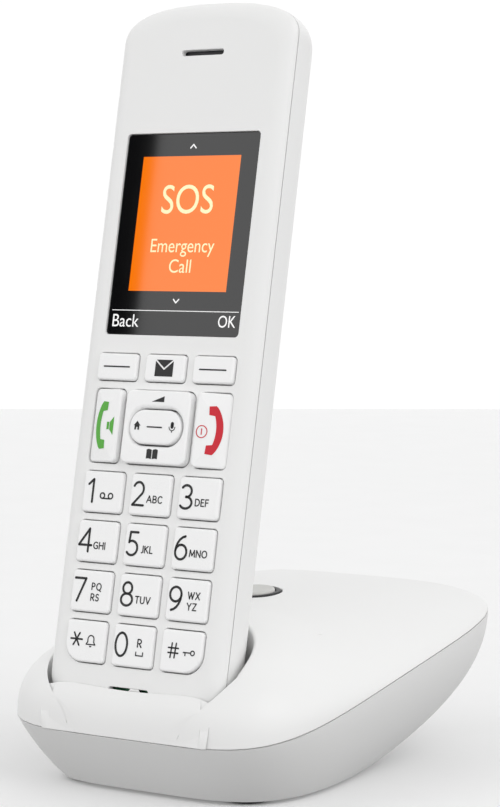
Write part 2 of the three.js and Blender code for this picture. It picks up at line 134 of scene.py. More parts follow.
def loft(name, rings, caps=(True, True)):
    """Joins rings of equal length into one surface; caps close its two ends."""
    rings = [np.asarray(ring) for ring in rings]
    count = len(rings[0])
    points = np.concatenate(rings)
    faces = []
    for i in range(len(rings) - 1):
        for j in range(count):
            k = (j + 1) % count
            faces.append((i * count + j, i * count + k, (i + 1) * count + k, (i + 1) * count + j))
    if caps[0]:
        faces.append(tuple(range(count))[::-1])
    if caps[1]:
        last = (len(rings) - 1) * count
        faces.append(tuple(range(last, last + count)))
    return mesh_piece(name, points, faces)


def bake(piece):
    """Applies the piece's modifiers."""
    view = bpy.context.evaluated_depsgraph_get()
    done = bpy.data.meshes.new_from_object(piece.evaluated_get(view))
    piece.modifiers.clear()
    old = piece.data
    piece.data = done
    bpy.data.meshes.remove(old)
    return piece


def carve(piece, tools, operation="DIFFERENCE", solver="EXACT"):
    """Cuts the tools out of the piece, or joins them to it, and removes them."""
    for tool in tools:
        step = piece.modifiers.new("carve", "BOOLEAN")
        step.object = tool
        step.operation = operation
        step.solver = solver
    bake(piece)
    for tool in tools:
        bpy.data.objects.remove(tool)
    return piece


def join(name, parts):
    """One object from several."""
    points, faces = [], []
    for part in parts:
        start = len(points)
        points += [tuple(part.matrix_world @ v.co) for v in part.data.vertices]
        faces += [tuple(start + i for i in face.vertices) for face in part.data.polygons]
        bpy.data.objects.remove(part)
    return mesh_piece(name, points, faces)


def smooth(piece, angle=32):
    """Smooth shading with edges sharper than angle kept crisp."""
    mesh = piece.data
    mesh.polygons.foreach_set("use_smooth", [True] * len(mesh.polygons))
    mesh.set_sharp_from_angle(angle=math.radians(angle))
    weighted = piece.modifiers.new("weighted", "WEIGHTED_NORMAL")
    weighted.keep_sharp = True
    weighted.weight = 80
    return piece


def rounded(width, height, radius, centre=(0, 0), steps=8):
    """A rounded rectangle, as a function of how far it is drawn in."""
    radii = radius if isinstance(radius, (list, tuple)) else [radius] * 4

    def outline(inset=0.0):
        points = []
        for i, corner in enumerate(radii):
            r = max(corner - inset, 0.04)
            sx = 1 if i in (0, 3) else -1
            sy = 1 if i < 2 else -1
            for k in range(steps + 1):
                turn = math.radians((i + k / steps) * 90)
                points.append((
                    centre[0] + sx * (width / 2 - inset - r) + r * math.cos(turn),
                    centre[1] + sy * (height / 2 - inset - r) + r * math.sin(turn),
                ))
        return np.array(points)

    return outline


def layered(name, outline, levels, place=on_handset):
    """A stack of one outline: levels are pairs of depth and inset, in millimetres."""
    rings = []
    for depth, inset in levels:
        flat = outline(inset)
        rings.append(place(flat[:, 0], flat[:, 1], depth))
    return loft(name, rings)


def flared(outline, gap=0.25, edge=0.22, depth=6.0, place=on_handset, surface=0.0):
    """A cutter for an opening: gap all round, and a rounded edge where it meets the surface."""
    levels = [(surface - 1.5, -gap - edge)]
    for k in range(6):
        turn = math.radians(90 * k / 5)
        levels.append((surface + edge * (1 - math.cos(turn)), -gap - edge * (1 - math.sin(turn))))
    levels.append((surface + depth, -gap))
    return layered("cutter", outline, levels, place)


print("helpers ready")

# %% [markdown]
# ## Shader arithmetic
# A finish is a Principled surface whose colour, roughness and bumps vary a little, as moulded
# plastic, rubber and metal do. `Signal` wraps a shader socket, so that `0.4 + 0.1 * noise` adds
# the Math nodes by itself. `Finish.node` makes any other node from its type, settings and inputs.


# %% Signals and finishes
class Signal:
    """A shader socket that takes part in Python arithmetic."""

    def __init__(self, finish, socket):
        self.finish = finish
        self.socket = socket

    def _combine(self, operation, first, second):
        sockets = [v.socket for v in (first, second) if isinstance(v, Signal)]
        vector = any(socket.type in ("VECTOR", "RGBA") for socket in sockets)
        kind = "ShaderNodeVectorMath" if vector else "ShaderNodeMath"
        return self.finish.node(kind, {"operation": operation}, {0: first, 1: second})

    def __add__(self, other):
        return self._combine("ADD", self, other)

    def __radd__(self, other):
        return self._combine("ADD", other, self)

    def __sub__(self, other):
        return self._combine("SUBTRACT", self, other)

    def __rsub__(self, other):
        return self._combine("SUBTRACT", other, self)

    def __mul__(self, other):
        return self._combine("MULTIPLY", self, other)

    def __rmul__(self, other):
        return self._combine("MULTIPLY", other, self)

    def below(self, level):
        return self._combine("LESS_THAN", self, level)


class Finish:
    """A material with a Principled surface and helpers for its nodes."""

    def __init__(self, name, **constants):
        self.material = bpy.data.materials.new(name)
        self.material.use_nodes = True
        self.tree = self.material.node_tree
        self.tree.nodes.clear()
        self.surface = self.tree.nodes.new("ShaderNodeBsdfPrincipled")
        output = self.tree.nodes.new("ShaderNodeOutputMaterial")
        self.tree.links.new(self.surface.outputs[0], output.inputs[0])
        for socket, value in constants.items():
            self.set(socket.replace("_", " ").title().replace("Ior", "IOR"), value)

    def set(self, socket, value):
        target = self.surface.inputs[socket]
        if isinstance(value, Signal):
            self.tree.links.new(value.socket, target)
        elif isinstance(value, (tuple, list)) and target.type == "RGBA":
            target.default_value = (*value[:3], 1.0)
        else:
            target.default_value = value

    def node(self, kind, settings=None, inputs=None, output=0):
        """Adds a node: its settings first, then the values or links of its sockets."""
        node = self.tree.nodes.new(kind)
        for key, value in (settings or {}).items():
            if key == "stops":
                ramp = node.color_ramp
                while len(ramp.elements) < len(value):
                    ramp.elements.new(0.5)
                for element, (place, colour) in zip(ramp.elements, value):
                    element.position = place
                    element.color = (*colour, 1.0)
            else:
                setattr(node, key, value)
        for key, value in (inputs or {}).items():
            target = node.inputs[key]
            if isinstance(value, Signal):
                self.tree.links.new(value.socket, target)
            elif target.type == "RGBA" and len(value) == 3:
                target.default_value = (*value, 1.0)
            else:
                target.default_value = value
        return Signal(self, node.outputs[output])

    def place(self):
        return self.node("ShaderNodeTexCoord", output="Object")

    def axis(self, name):
        return self.node("ShaderNodeSeparateXYZ", inputs={0: self.place()}, output=name)

    def noise(self, scale, detail=2.0, roughness=0.5, where=None):
        return self.node("ShaderNodeTexNoise", inputs={
            "Vector": where or self.place(), "Scale": scale, "Detail": detail, "Roughness": roughness,
        }, output="Fac")

    def mix(self, factor, first, second):
        return self.node("ShaderNodeMix", {"data_type": "RGBA"}, {0: factor, 6: first, 7: second}, output=2)

    def bump(self, height, strength, distance):
        self.set("Normal", self.node("ShaderNodeBump", inputs={
            "Height": height, "Strength": strength, "Distance": distance,
        }))


def paint(piece, finish):
    """Gives a piece its finish."""
    piece.data.materials.clear()
    piece.data.materials.append(finish.material)


print("shader helpers ready")

# %% [markdown]
# ## Moulded plastics
# The shells are white polymer with the faint, even grain that spark erosion leaves in a steel
# mould: bumps about a fifth of a millimetre apart and a few microns high, and small changes in
# gloss where hands and cloths have polished it. The keys are a whiter, smoother polymer.
# Noise in object coordinates makes the grain, so it doesn't stretch and needs no unwrapping.


# %% Plastic finishes
def moulded(name, colour, roughness, grain_depth, coat=0.0, grain=5200):
    finish = Finish(name, coat_weight=coat, coat_roughness=0.12, specular_ior_level=0.45)
    fine = finish.noise(grain, 2.0, 0.6)
    cloud = finish.noise(38, 3.0, 0.5)
    lighter = tuple(min(1.0, c * 1.012) for c in colour)
    darker = tuple(c * 0.985 for c in colour)
    finish.set("Base Color", finish.mix(cloud, darker, lighter))
    finish.set("Roughness", roughness - 0.05 + 0.07 * cloud + 0.04 * fine)
    finish.bump(fine, 0.35, grain_depth)
    return finish


SHELL_WHITE = moulded("shell_white", (0.83, 0.83, 0.825), 0.36, 0.00002)
KEY_WHITE = moulded("key_white", (0.90, 0.90, 0.90), 0.28, 0.000008)
# The bowl is the same white plastic as the top shell; its darker colour is painted shade for the grey its
# underside falls into.
BOWL_SHADED_WHITE = moulded("bowl_shaded_white", (0.74, 0.74, 0.735), 0.38, 0.00002)
SOFT_GREY = moulded("soft_grey", (0.62, 0.62, 0.60), 0.7, 0.00003, grain=3000)
DARK_PLASTIC = moulded("dark_plastic", (0.016, 0.016, 0.018), 0.42, 0.00002)
RUBBER = moulded("foot_rubber", (0.03, 0.03, 0.032), 0.82, 0.00005, grain=2600)
print("plastics", SHELL_WHITE.material.name, KEY_WHITE.material.name)

# %% [markdown]
# ## Metals, board and cells
# Spring metal has long drawing marks: noise squeezed along one axis. The boards are glass-fibre
# under green solder mask, whose copper tracks show as slightly lighter lines. The rechargeable
# cells wear a plain plastic sleeve with a darker band at one end.


# %% Other finishes
def drawn_metal(name, colour, roughness):
    finish = Finish(name, metallic=1.0)
    stretched = finish.node("ShaderNodeMapping", inputs={0: finish.place(), 3: (400, 6000, 6000)})
    marks = finish.noise(1.0, 2.0, 0.5, where=stretched)
    finish.set("Base Color", finish.mix(marks, tuple(c * 0.9 for c in colour), colour))
    finish.set("Roughness", roughness + 0.12 * marks)
    finish.bump(marks, 0.2, 0.00001)
    return finish


SPRING_METAL = drawn_metal("spring_metal", (0.72, 0.72, 0.71), 0.24)
CONTACT_GOLD = drawn_metal("contact_gold", (0.83, 0.62, 0.28), 0.2)

BOARD = Finish("circuit_board", coat_weight=0.4, coat_roughness=0.15)
tracks = BOARD.node("ShaderNodeTexBrick", {"offset": 0.35}, {
    "Vector": BOARD.place(), "Color1": (0.02, 0.16, 0.06), "Color2": (0.025, 0.2, 0.075),
    "Mortar": (0.05, 0.3, 0.13), "Scale": 260.0, "Mortar Size": 0.03,
})
BOARD.set("Base Color", tracks)
BOARD.set("Roughness", 0.35 + 0.2 * BOARD.noise(900, 2.0))

CELL_SLEEVE = Finish("cell_sleeve", coat_weight=0.5, coat_roughness=0.1)
cell_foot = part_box("battery_cell_left")[0][2]
band = CELL_SLEEVE.axis("Z").below(cell_foot + 0.012)
CELL_SLEEVE.set("Base Color", CELL_SLEEVE.mix(band, (0.05, 0.2, 0.42), (0.03, 0.05, 0.09)))
CELL_SLEEVE.set("Roughness", 0.3 + 0.1 * CELL_SLEEVE.noise(700, 2.0))
print("metals, board and cell sleeve ready")

# %% [markdown]
# ## The handset's front shell
# The face is a flat plate whose edges roll back to the parting line. Its outline is a long
# rectangle with softly squared ends. It is lofted from the rolled edge inward, then the window,
# the earpiece slot, the microphone slot and a seat for every key are cut with flared cutters.

# %% The handset's outline
HAND_HALF = (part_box("rear_shell")[1][0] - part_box("rear_shell")[0][0]) / 2 / MM
HAND_TOP, HAND_BOTTOM = 54.0, -110.0
TOP_CORNER, BOTTOM_CORNER = 9.0, 10.0
EDGE = 4.0
PARTING = 2.7
REAR_DEPTH = 21.3
REAR_END = 12.0
SEAM = 0.15
WINDOW = (37.2, 46.6)


def squashed(value, power):
    return np.sign(value) * np.abs(value) ** power


def handset_outline(side, end, steps=72):
    """The handset's plan, drawn in by side across it and by end along it."""
    half = HAND_HALF - side
    turns = np.linspace(0, np.pi, steps)
    top = HAND_TOP - end - TOP_CORNER + TOP_CORNER * squashed(np.sin(turns), 2 / 2.6)
    top_x = half * squashed(np.cos(turns), 2 / 2.6)
    low = HAND_BOTTOM + end + BOTTOM_CORNER - BOTTOM_CORNER * squashed(np.sin(turns), 2 / 3)
    low_x = -half * squashed(np.cos(turns), 2 / 3)
    return np.concatenate([np.stack([top_x, top], 1), np.stack([low_x, low], 1)])


def handset_ring(depth, side, end):
    flat = handset_outline(side, end)
    return on_handset(flat[:, 0], flat[:, 1], depth)


print("handset", round(2 * HAND_HALF, 1), "by", HAND_TOP - HAND_BOTTOM, "mm")

# %% The key table
KEY_PITCH = (13.45, 11.3)
KEY_SIZE = (11.1, 9.36)
FIRST_ROW = -59.66
SOFT_ROW = -30.9
CALL_ROW = -44.45
CALL_X = 14.85
CENTRE_SIZE = (14.2, 7.8)
DIGITS = [["1", "2", "3"], ["4", "5", "6"], ["7", "8", "9"], ["star", "0", "hash"]]
keys = {}
for column, name in enumerate(["soft_key_left", "message_key", "soft_key_right"]):
    centre = ((column - 1) * KEY_PITCH[0], SOFT_ROW)
    keys[name] = dict(centre=centre, size=(11.1, 6.15), radius=0.9, proud=0.8)
keys["talk_key"] = dict(centre=(-CALL_X, CALL_ROW), size=(8.6, 16.8), radius=1.2, proud=1.5)
keys["end_key"] = dict(centre=(CALL_X, CALL_ROW), size=(8.6, 16.8), radius=1.2, proud=1.5)
keys["nav_rocker"] = dict(centre=(0, CALL_ROW), size=(18.1, 16.75), radius=1.8, proud=1.7)
for row, names in enumerate(DIGITS):
    for column, name in enumerate(names):
        corner = [0.9, 0.9, 4.5 if name == "star" else 0.9, 4.5 if name == "hash" else 0.9]
        centre = ((column - 1) * KEY_PITCH[0], FIRST_ROW - row * KEY_PITCH[1])
        keys[f"key_{name}"] = dict(centre=centre, size=KEY_SIZE, radius=corner, proud=0.8)
print(len(keys) + 1, "keys")

# %% Loft and cut the front shell
rings = []
for turn in np.radians(np.linspace(0, 86.8, 12)):
    inset = EDGE * (1 - math.sin(turn))
    rings.append(handset_ring(PARTING * (1 - math.cos(turn)), inset, inset))
rings.append(handset_ring(PARTING - SEAM, 0.9, 0.9))
rings.append(handset_ring(1.5, 2.0, 2.0))
front_shell = loft("front_shell_skin", rings)
window_outline = rounded(*WINDOW, 0.9)
slot_outline = rounded(11.7, 1.3, 0.62, (0, 42))
MIC_SLOT, MIC_PLACE = (11.0, 1.3), (-0.4, -103.6)
cutters = [
    flared(window_outline, gap=0.08, edge=0.15),
    flared(slot_outline, gap=0.0, edge=0.2),
    flared(rounded(*MIC_SLOT, 0.5, MIC_PLACE), gap=0.0, edge=0.15),
]
for key in keys.values():
    cutters.append(flared(rounded(*key["size"], key["radius"], key["centre"]), gap=0.22, edge=0.25))
carve(front_shell, [join("cutters", cutters)])
smooth(front_shell)
paint(front_shell, SHELL_WHITE)
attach(front_shell, "handset")
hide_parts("front_shell")
print("front shell", len(front_shell.data.polygons), "faces")

# %% [markdown]
# ## The rear shell and battery cover
# Behind the seam the section is half an ellipse, drawn in at both ends so the back closes in a
# soft nose. The cover is cut from the same surface, so the two stay flush. A tray with walls
# holds the cells, and five slots let the rear loudspeaker out.


# %% Rear shell and cover
def rear_rings(offset, start, last=87.0, count=30):
    rings = [handset_ring(start, offset, offset)]
    for turn in np.radians(np.linspace(4, last, count)):
        drawn = 1 - math.cos(turn)
        rings.append(handset_ring(
            PARTING + (REAR_DEPTH - offset) * math.sin(turn),
            offset + (HAND_HALF - offset) * drawn,
            offset + REAR_END * drawn,
        ))
    return rings


WALL = 1.8
COVER_HALF, COVER_TOP, COVER_BOTTOM = 15.5, -18.0, -72.0
COVER_CENTRE = (0, (COVER_TOP + COVER_BOTTOM) / 2)
cover_outline = rounded(2 * COVER_HALF, COVER_TOP - COVER_BOTTOM, 2.0, COVER_CENTRE)


def rear_skin(name):
    skin = loft(name, rear_rings(0, PARTING + SEAM))
    return carve(skin, [loft("cutter", rear_rings(WALL, PARTING - 1))])


rear_shell = rear_skin("rear_shell_skin")
tray = layered("tray", cover_outline, [(6.2, -1.7), (26, -1.7)])
carve(tray, [loft("cutter", rear_rings(0.4, PARTING - 1))], "INTERSECT")
carve(rear_shell, [tray], "UNION")
carve(rear_shell, [layered("cutter", cover_outline, [(7.4, -0.3), (30, -0.3)])])
slots = [layered("cutter", rounded(9, 1.1, 0.5, (0, 14 + 2.5 * k)), [(16, 0), (30, 0)]) for k in range(-2, 3)]
pads = [
    layered("cutter", rounded(5.4, 5.4, 0.3, (x, -108.2)), [(8.7, 0), (15.3, 0)])
    for x in (-7, 7)
]
carve(rear_shell, slots + pads)
smooth(rear_shell)
paint(rear_shell, SHELL_WHITE)
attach(rear_shell, "handset")
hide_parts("rear_shell")

cover = rear_skin("battery_cover_skin")
carve(cover, [layered("cutter", cover_outline, [(12, 0.02), (30, 0.02)])], "INTERSECT")
ridges = []
for k in range(4):
    outline = rounded(9 - 1.4 * abs(k - 1.5), 0.7, 0.34, (0, -24.5 - 1.6 * k), 4)
    ridges.append(layered("ridge", outline, [(22.5, 0), (24.25, 0.0), (24.4, 0.2)]))
carve(cover, ridges, "UNION")
smooth(cover)
paint(cover, SHELL_WHITE)
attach(cover, "cover")
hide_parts("battery_cover")
print("rear shell", len(rear_shell.data.polygons), "faces, cover", len(cover.data.polygons))

# %% [markdown]
# ## The keys
# Each key is a moulded button with a small roll on its top edge. The talk and end keys also fall
# away towards the outer side, as the shell's edge does, and the middle of the block is dished
# around the centre button. Rings inside the outline let the top follow those curves.


# %% Keys
def fall(name, x):
    """How far a key's top falls away at x: the two call keys roll off outward."""
    if name not in ("talk_key", "end_key"):
        return np.zeros_like(x)
    side = -1 if name == "talk_key" else 1
    outward = np.clip((side * x - CALL_X + 3.2) / 7.5, 0, 1)
    return 1.9 * outward ** 1.7


def key_mesh(name, outline, proud, height, roll=0.5, foot=2.2):
    flats = [(foot, 0.0)]
    for k in range(7):
        turn = math.radians(90 * k / 6)
        flats.append((-proud + roll * (1 - math.sin(turn)), roll * (1 - math.cos(turn))))
    for share in (0.25, 0.45, 0.65, 0.85, 0.95):
        flats.append((-proud, roll + (height / 2 - roll) * share))
    rings = []
    for depth, inset in flats:
        flat = outline(inset)
        drop = fall(name, flat[:, 0]) * np.clip((foot - depth) / (foot + proud), 0, 1)
        rings.append(on_handset(flat[:, 0], flat[:, 1], depth + drop))
    return loft(f"{name}_cap", rings)


centre_outline = rounded(*CENTRE_SIZE, CENTRE_SIZE[1] / 2 - 0.05, (0, CALL_ROW), 14)
for name, key in keys.items():
    outline = rounded(*key["size"], key["radius"], key["centre"])
    cap = key_mesh(name, outline, key["proud"], min(key["size"]))
    if name == "nav_rocker":
        carve(cap, [flared(centre_outline, gap=0.35, edge=0.9, surface=-key["proud"])])
    smooth(cap)
    paint(cap, KEY_WHITE)
    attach(cap, "nav_rocker_body" if name == "nav_rocker" else f"{name}_body")
    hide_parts(name)

CENTRE_PROUD = 1.9
centre_cap = key_mesh("nav_centre_key", centre_outline, CENTRE_PROUD, CENTRE_SIZE[1], roll=0.45)
smooth(centre_cap)
paint(centre_cap, KEY_WHITE)
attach(centre_cap, "nav_centre_body")
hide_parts("nav_centre_key")
print("key caps done")

# %% [markdown]
# ## The display window
# A black acrylic window sits just below the face, and the picture glows through it. The window
# is one polished slab, and its material paints the lit picture by place: inside the picture's
# rectangle it emits orange, and everywhere it is glossy, so that the studio's softbox reflects
# over picture and border alike. The words are thin flush pieces with the same gloss.

# %% Window and picture
PICTURE = (27.4, 31.2)
PICTURE_B = 2.45
WINDOW_GLOSS = dict(specular_ior_level=0.5, roughness=0.04)
GLASS_BLACK = Finish("window_black", **WINDOW_GLOSS)
offset = GLASS_BLACK.node("ShaderNodeVectorMath", {"operation": "SUBTRACT"}, {
    0: GLASS_BLACK.place(), 1: tuple(FACE),
})


def along(axis):
    return GLASS_BLACK.node("ShaderNodeVectorMath", {"operation": "DOT_PRODUCT"}, {
        0: offset, 1: tuple(axis),
    }, output="Value")


inside_x = GLASS_BLACK.node("ShaderNodeMath", {"operation": "ABSOLUTE"}, {0: along(ACROSS)})
from_middle = along(ALONG) - PICTURE_B * MM
inside_b = GLASS_BLACK.node("ShaderNodeMath", {"operation": "ABSOLUTE"}, {0: from_middle})
lit = inside_x.below(PICTURE[0] / 2 * MM) * inside_b.below(PICTURE[1] / 2 * MM)
sheen = GLASS_BLACK.noise(60, 2.0)
ORANGE = (0.90, 0.175, 0.0)
GLASS_BLACK.set("Base Color", GLASS_BLACK.mix(lit, (0.004, 0.004, 0.0045), (0.05, 0.01, 0.0)))
GLASS_BLACK.set("Emission Color", GLASS_BLACK.mix(lit, (0, 0, 0), ORANGE))
GLASS_BLACK.set("Emission Strength", 1.0)
GLASS_BLACK.set("Roughness", 0.03 + 0.02 * sheen)

glass = layered("display_window", window_outline, [
    (WINDOW_RECESS + GLASS, 0), (WINDOW_RECESS + 0.12, 0),
    (WINDOW_RECESS + 0.03, 0.04), (WINDOW_RECESS, 0.12),
])
smooth(glass)
paint(glass, GLASS_BLACK)
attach(glass, "handset")
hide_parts("display_glass")
print("window", WINDOW, "picture", PICTURE)

# %% [markdown]
# ## Printed legends
# The display's words come from Blender's own font, turned into thin meshes. Digits, letters and
# the small signs are drawn as strokes and polygons. A stroke is a ribbon with round ends, which
# is how such signs are drawn for printing. All of them lie on the faces as thin raised pieces.


# %% Legend tools
def ink(name, colour, roughness=0.45, glow=0.0):
    finish = Finish(name, specular_ior_level=0.4)
    speckle = finish.noise(4000, 2.0)
    finish.set("Base Color", finish.mix(speckle, tuple(c * 0.9 for c in colour), colour))
    finish.set("Roughness", roughness + 0.1 * speckle)
    if glow:
        finish.set("Emission Color", tuple(colour))
        finish.set("Emission Strength", glow)
    return finish


INK_BLACK = ink("ink_black", (0.008, 0.008, 0.009))
INK_GREEN = ink("ink_green", (0.085, 0.42, 0.035))
INK_RED = ink("ink_red", (0.62, 0.008, 0.025))
SCREEN_CREAM = ink("screen_cream", (0.80, 0.62, 0.36), 0.05, 0.62)
SCREEN_WHITE = ink("screen_white", (0.70, 0.70, 0.70), 0.05, 0.55)


def flat_text(words):
    """The words as flat polygons, their box's lower left at 0, 0 and its top at height 1."""
    curve = bpy.data.curves.new("words", "FONT")
    curve.body = words
    curve.size = 1.0
    curve.resolution_u = 6
    item = bpy.data.objects.new("words", curve)
    bpy.context.scene.collection.objects.link(item)
    view = bpy.context.evaluated_depsgraph_get()
    mesh = bpy.data.meshes.new_from_object(item.evaluated_get(view))
    points = np.array([v.co[:2] for v in mesh.vertices])
    faces = [tuple(face.vertices) for face in mesh.polygons]
    bpy.data.objects.remove(item)
    points -= points.min(0)
    points *= 1.0 / points[:, 1].max()
    return points, faces


def stroke(path, width, closed=False):
    """A ribbon along a path: mitred where it bends gently, with round ends and sharp corners."""
    path = np.asarray(path, float)
    if closed:
        path = np.vstack([path, path[:1]])
    steps = np.diff(path, axis=0)
    steps /= np.maximum(np.linalg.norm(steps, axis=1), 1e-9)[:, None]
    sides = np.stack([-steps[:, 1], steps[:, 0]], 1) * width / 2
    points, faces = [], []
    for i in range(len(steps)):
        ends = []
        for point, other in ((path[i], i - 1), (path[i + 1], i + 1)):
            side = sides[i]
            if closed:
                other %= len(steps)
            if 0 <= other < len(steps) and steps[other] @ steps[i] > 0.8:
                middle = sides[i] + sides[other]
                side = middle * (width / 2) ** 2 / (middle @ sides[i])
            else:
                start = len(points)
                for t in np.arange(12) * math.pi / 6:
                    points.append(point + width / 2 * np.array([math.cos(t), math.sin(t)]))
                faces.append(tuple(range(start, start + 12)))
            ends.append((point, side))
        start = len(points)
        (a, aside), (b, bside) = ends
        points += [a + aside, a - aside, b - bside, b + bside]
        faces.append(tuple(range(start, start + 4)))
    return np.array(points), faces


def shape(corners):
    return np.asarray(corners, float), [tuple(range(len(corners)))]


def arc(centre, radius, start, end, steps=20):
    turns = np.radians(np.linspace(start, end, steps))
    return np.stack([centre[0] + radius * np.cos(turns), centre[1] + radius * np.sin(turns)], 1)


def shifted(drawing, x, b):
    points, faces = drawing
    return np.asarray(points) + np.array([x, b]), faces


def legend(name, drawings, body, finish, surface, key_name="", thickness=0.04):
    """Lays 2-D drawings on the handset at a depth, as one thin raised piece."""
    points, faces = [], []
    for flat, polygons in drawings:
        start = len(points)
        drop = fall(key_name, flat[:, 0])
        points += list(on_handset(flat[:, 0], flat[:, 1], surface - thickness + drop))
        faces += [tuple(start + i for i in face) for face in polygons]
    mesh = bpy.data.meshes.new(name)
    mesh.from_pydata([tuple(p) for p in points], [], faces)
    work = bmesh.new()
    work.from_mesh(mesh)
    bmesh.ops.triangulate(work, faces=work.faces)
    outward = Vector(-INWARD)
    for face in work.faces:
        if face.normal.dot(outward) < 0:
            face.normal_flip()
    raised = bmesh.ops.extrude_face_region(work, geom=list(work.faces))
    lifted = [v for v in raised["geom"] if isinstance(v, bmesh.types.BMVert)]
    bmesh.ops.translate(work, verts=lifted, vec=outward * thickness * 0.5 * MM)
    bmesh.ops.recalc_face_normals(work, faces=work.faces)
    work.to_mesh(mesh)
    work.free()
    piece = bpy.data.objects.new(name, mesh)
    bpy.context.scene.collection.objects.link(piece)
    paint(piece, finish)
    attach(piece, body)
    return piece


print("legend tools ready")

# %% [markdown]
# ## Strokes for the key legends
# The key legends are a light, even sans, which is a pen line of one width. So each sign is a few
# lines and arcs in a unit box, with its width, and the ribbon tool above draws it. The display's
# words are heavier and smaller, and use Blender's own font.


# %% The pen alphabet
def bend(x, y, rx, ry, start, end):
    turns = np.radians(np.linspace(start, end, max(6, int(abs(end - start) / 12))))
    return [(x + rx * math.cos(t), y + ry * math.sin(t)) for t in turns]


ROUND = bend(0.5, 0.5, 0.5, 0.5, 90, 450)
SIX = [bend(0.5, 0.31, 0.48, 0.31, 90, 450), bend(0.9, 0.3, 0.88, 0.7, 98, 178)]
BOW = bend(0.4, 0.73, 0.55, 0.27, 90, -90)
PEN = {
    "0": (0.62, [ROUND]),
    "2": (0.6, [bend(0.47, 0.7, 0.45, 0.3, 155, -38) + [(0.02, 0), (1, 0)]]),
    "3": (0.58, [bend(0.42, 0.745, 0.46, 0.255, 145, -90), bend(0.42, 0.255, 0.55, 0.255, 90, -145)]),
    "4": (0.68, [[(0.76, 0), (0.76, 1), (0, 0.28), (1, 0.28)]]),
    "5": (0.56, [[(0.92, 1), (0.2, 1), (0.14, 0.55)] + bend(0.42, 0.31, 0.54, 0.31, 118, -142)]),
    "6": (0.62, SIX),
    "7": (0.6, [[(0, 1), (0.98, 1), (0.3, 0)]]),
    "8": (0.6, [bend(0.5, 0.755, 0.4, 0.245, 90, 450), bend(0.5, 0.26, 0.5, 0.26, 90, 450)]),
    "9": (0.62, [[(1 - x, 1 - y) for x, y in path] for path in SIX]),
    "A": (0.86, [[(0, 0), (0.5, 1), (1, 0)], [(0.18, 0.34), (0.82, 0.34)]]),
    "B": (0.62, [[(0, 0), (0, 1), (0.42, 1)] + bend(0.42, 0.76, 0.46, 0.24, 90, -90) + [(0, 0.52)],
                 [(0.42, 0.52)] + bend(0.46, 0.26, 0.54, 0.26, 90, -90) + [(0, 0)]]),
    "C": (0.72, [bend(0.58, 0.5, 0.58, 0.5, 48, 312)]),
    "D": (0.74, [[(0, 0), (0, 1)] + bend(0.35, 0.5, 0.65, 0.5, 90, -90) + [(0, 0)]]),
    "E": (0.5, [[(1, 1), (0, 1), (0, 0), (1, 0)], [(0, 0.53), (0.86, 0.53)]]),
    "F": (0.5, [[(1, 1), (0, 1), (0, 0)], [(0, 0.53), (0.86, 0.53)]]),
    "G": (0.76, [bend(0.56, 0.5, 0.56, 0.5, 50, 290) + [(0.98, 0.1), (0.98, 0.46), (0.62, 0.46)]]),
    "H": (0.72, [[(0, 0), (0, 1)], [(1, 0), (1, 1)], [(0, 0.53), (1, 0.53)]]),
    "I": (0.02, [[(0.5, 0), (0.5, 1)]]),
    "J": (0.36, [[(1, 1), (1, 0.22)] + bend(0.45, 0.22, 0.55, 0.24, 0, -110)]),
    "K": (0.64, [[(0, 0), (0, 1)], [(0.92, 1), (0.04, 0.48)], [(0.24, 0.6), (1, 0)]]),
    "L": (0.48, [[(0, 1), (0, 0), (1, 0)]]),
    "M": (0.92, [[(0, 0), (0.08, 1), (0.5, 0.16), (0.92, 1), (1, 0)]]),
    "N": (0.72, [[(0, 0), (0, 1), (1, 0), (1, 1)]]),
    "O": (0.86, [ROUND]),
    "P": (0.56, [[(0, 0), (0, 1)] + BOW + [(0, 0.46)]]),
    "Q": (0.86, [ROUND, [(0.6, 0.02), (0.98, -0.2)]]),
    "R": (0.6, [[(0, 0), (0, 1)] + BOW + [(0, 0.46)], [(0.42, 0.46), (1, 0)]]),
    "S": (0.54, [bend(0.52, 0.76, 0.44, 0.24, 38, 262), bend(0.48, 0.26, 0.5, 0.26, 86, -148)]),
    "T": (0.66, [[(0.5, 0), (0.5, 1)], [(0, 1), (1, 1)]]),
    "U": (0.68, [[(0, 1), (0, 0.34)] + bend(0.5, 0.34, 0.5, 0.34, 180, 360) + [(1, 1)]]),
    "V": (0.78, [[(0, 1), (0.5, 0), (1, 1)]]),
    "W": (1.1, [[(0, 1), (0.26, 0), (0.5, 0.92), (0.74, 0), (1, 1)]]),
    "X": (0.7, [[(0, 1), (1, 0)], [(1, 1), (0, 0)]]),
    "Y": (0.72, [[(0, 1), (0.5, 0.47), (1, 1)], [(0.5, 0.47), (0.5, 0)]]),
    "Z": (0.64, [[(0, 1), (1, 1), (0, 0), (1, 0)]]),
}


def pen_line(words, height, width, gap, x, b):
    """Words drawn with the pen alphabet, from the lower left corner at x, b."""
    drawings = []
    inner = height - width
    for letter in words:
        share, paths = PEN[letter]
        for path in paths:
            line = np.array(path) * (share * inner, inner) + (x + width / 2, b + width / 2)
            drawings.append(stroke(line, width))
        x += share * inner + width + gap
    return drawings


print(len(PEN), "pen signs")

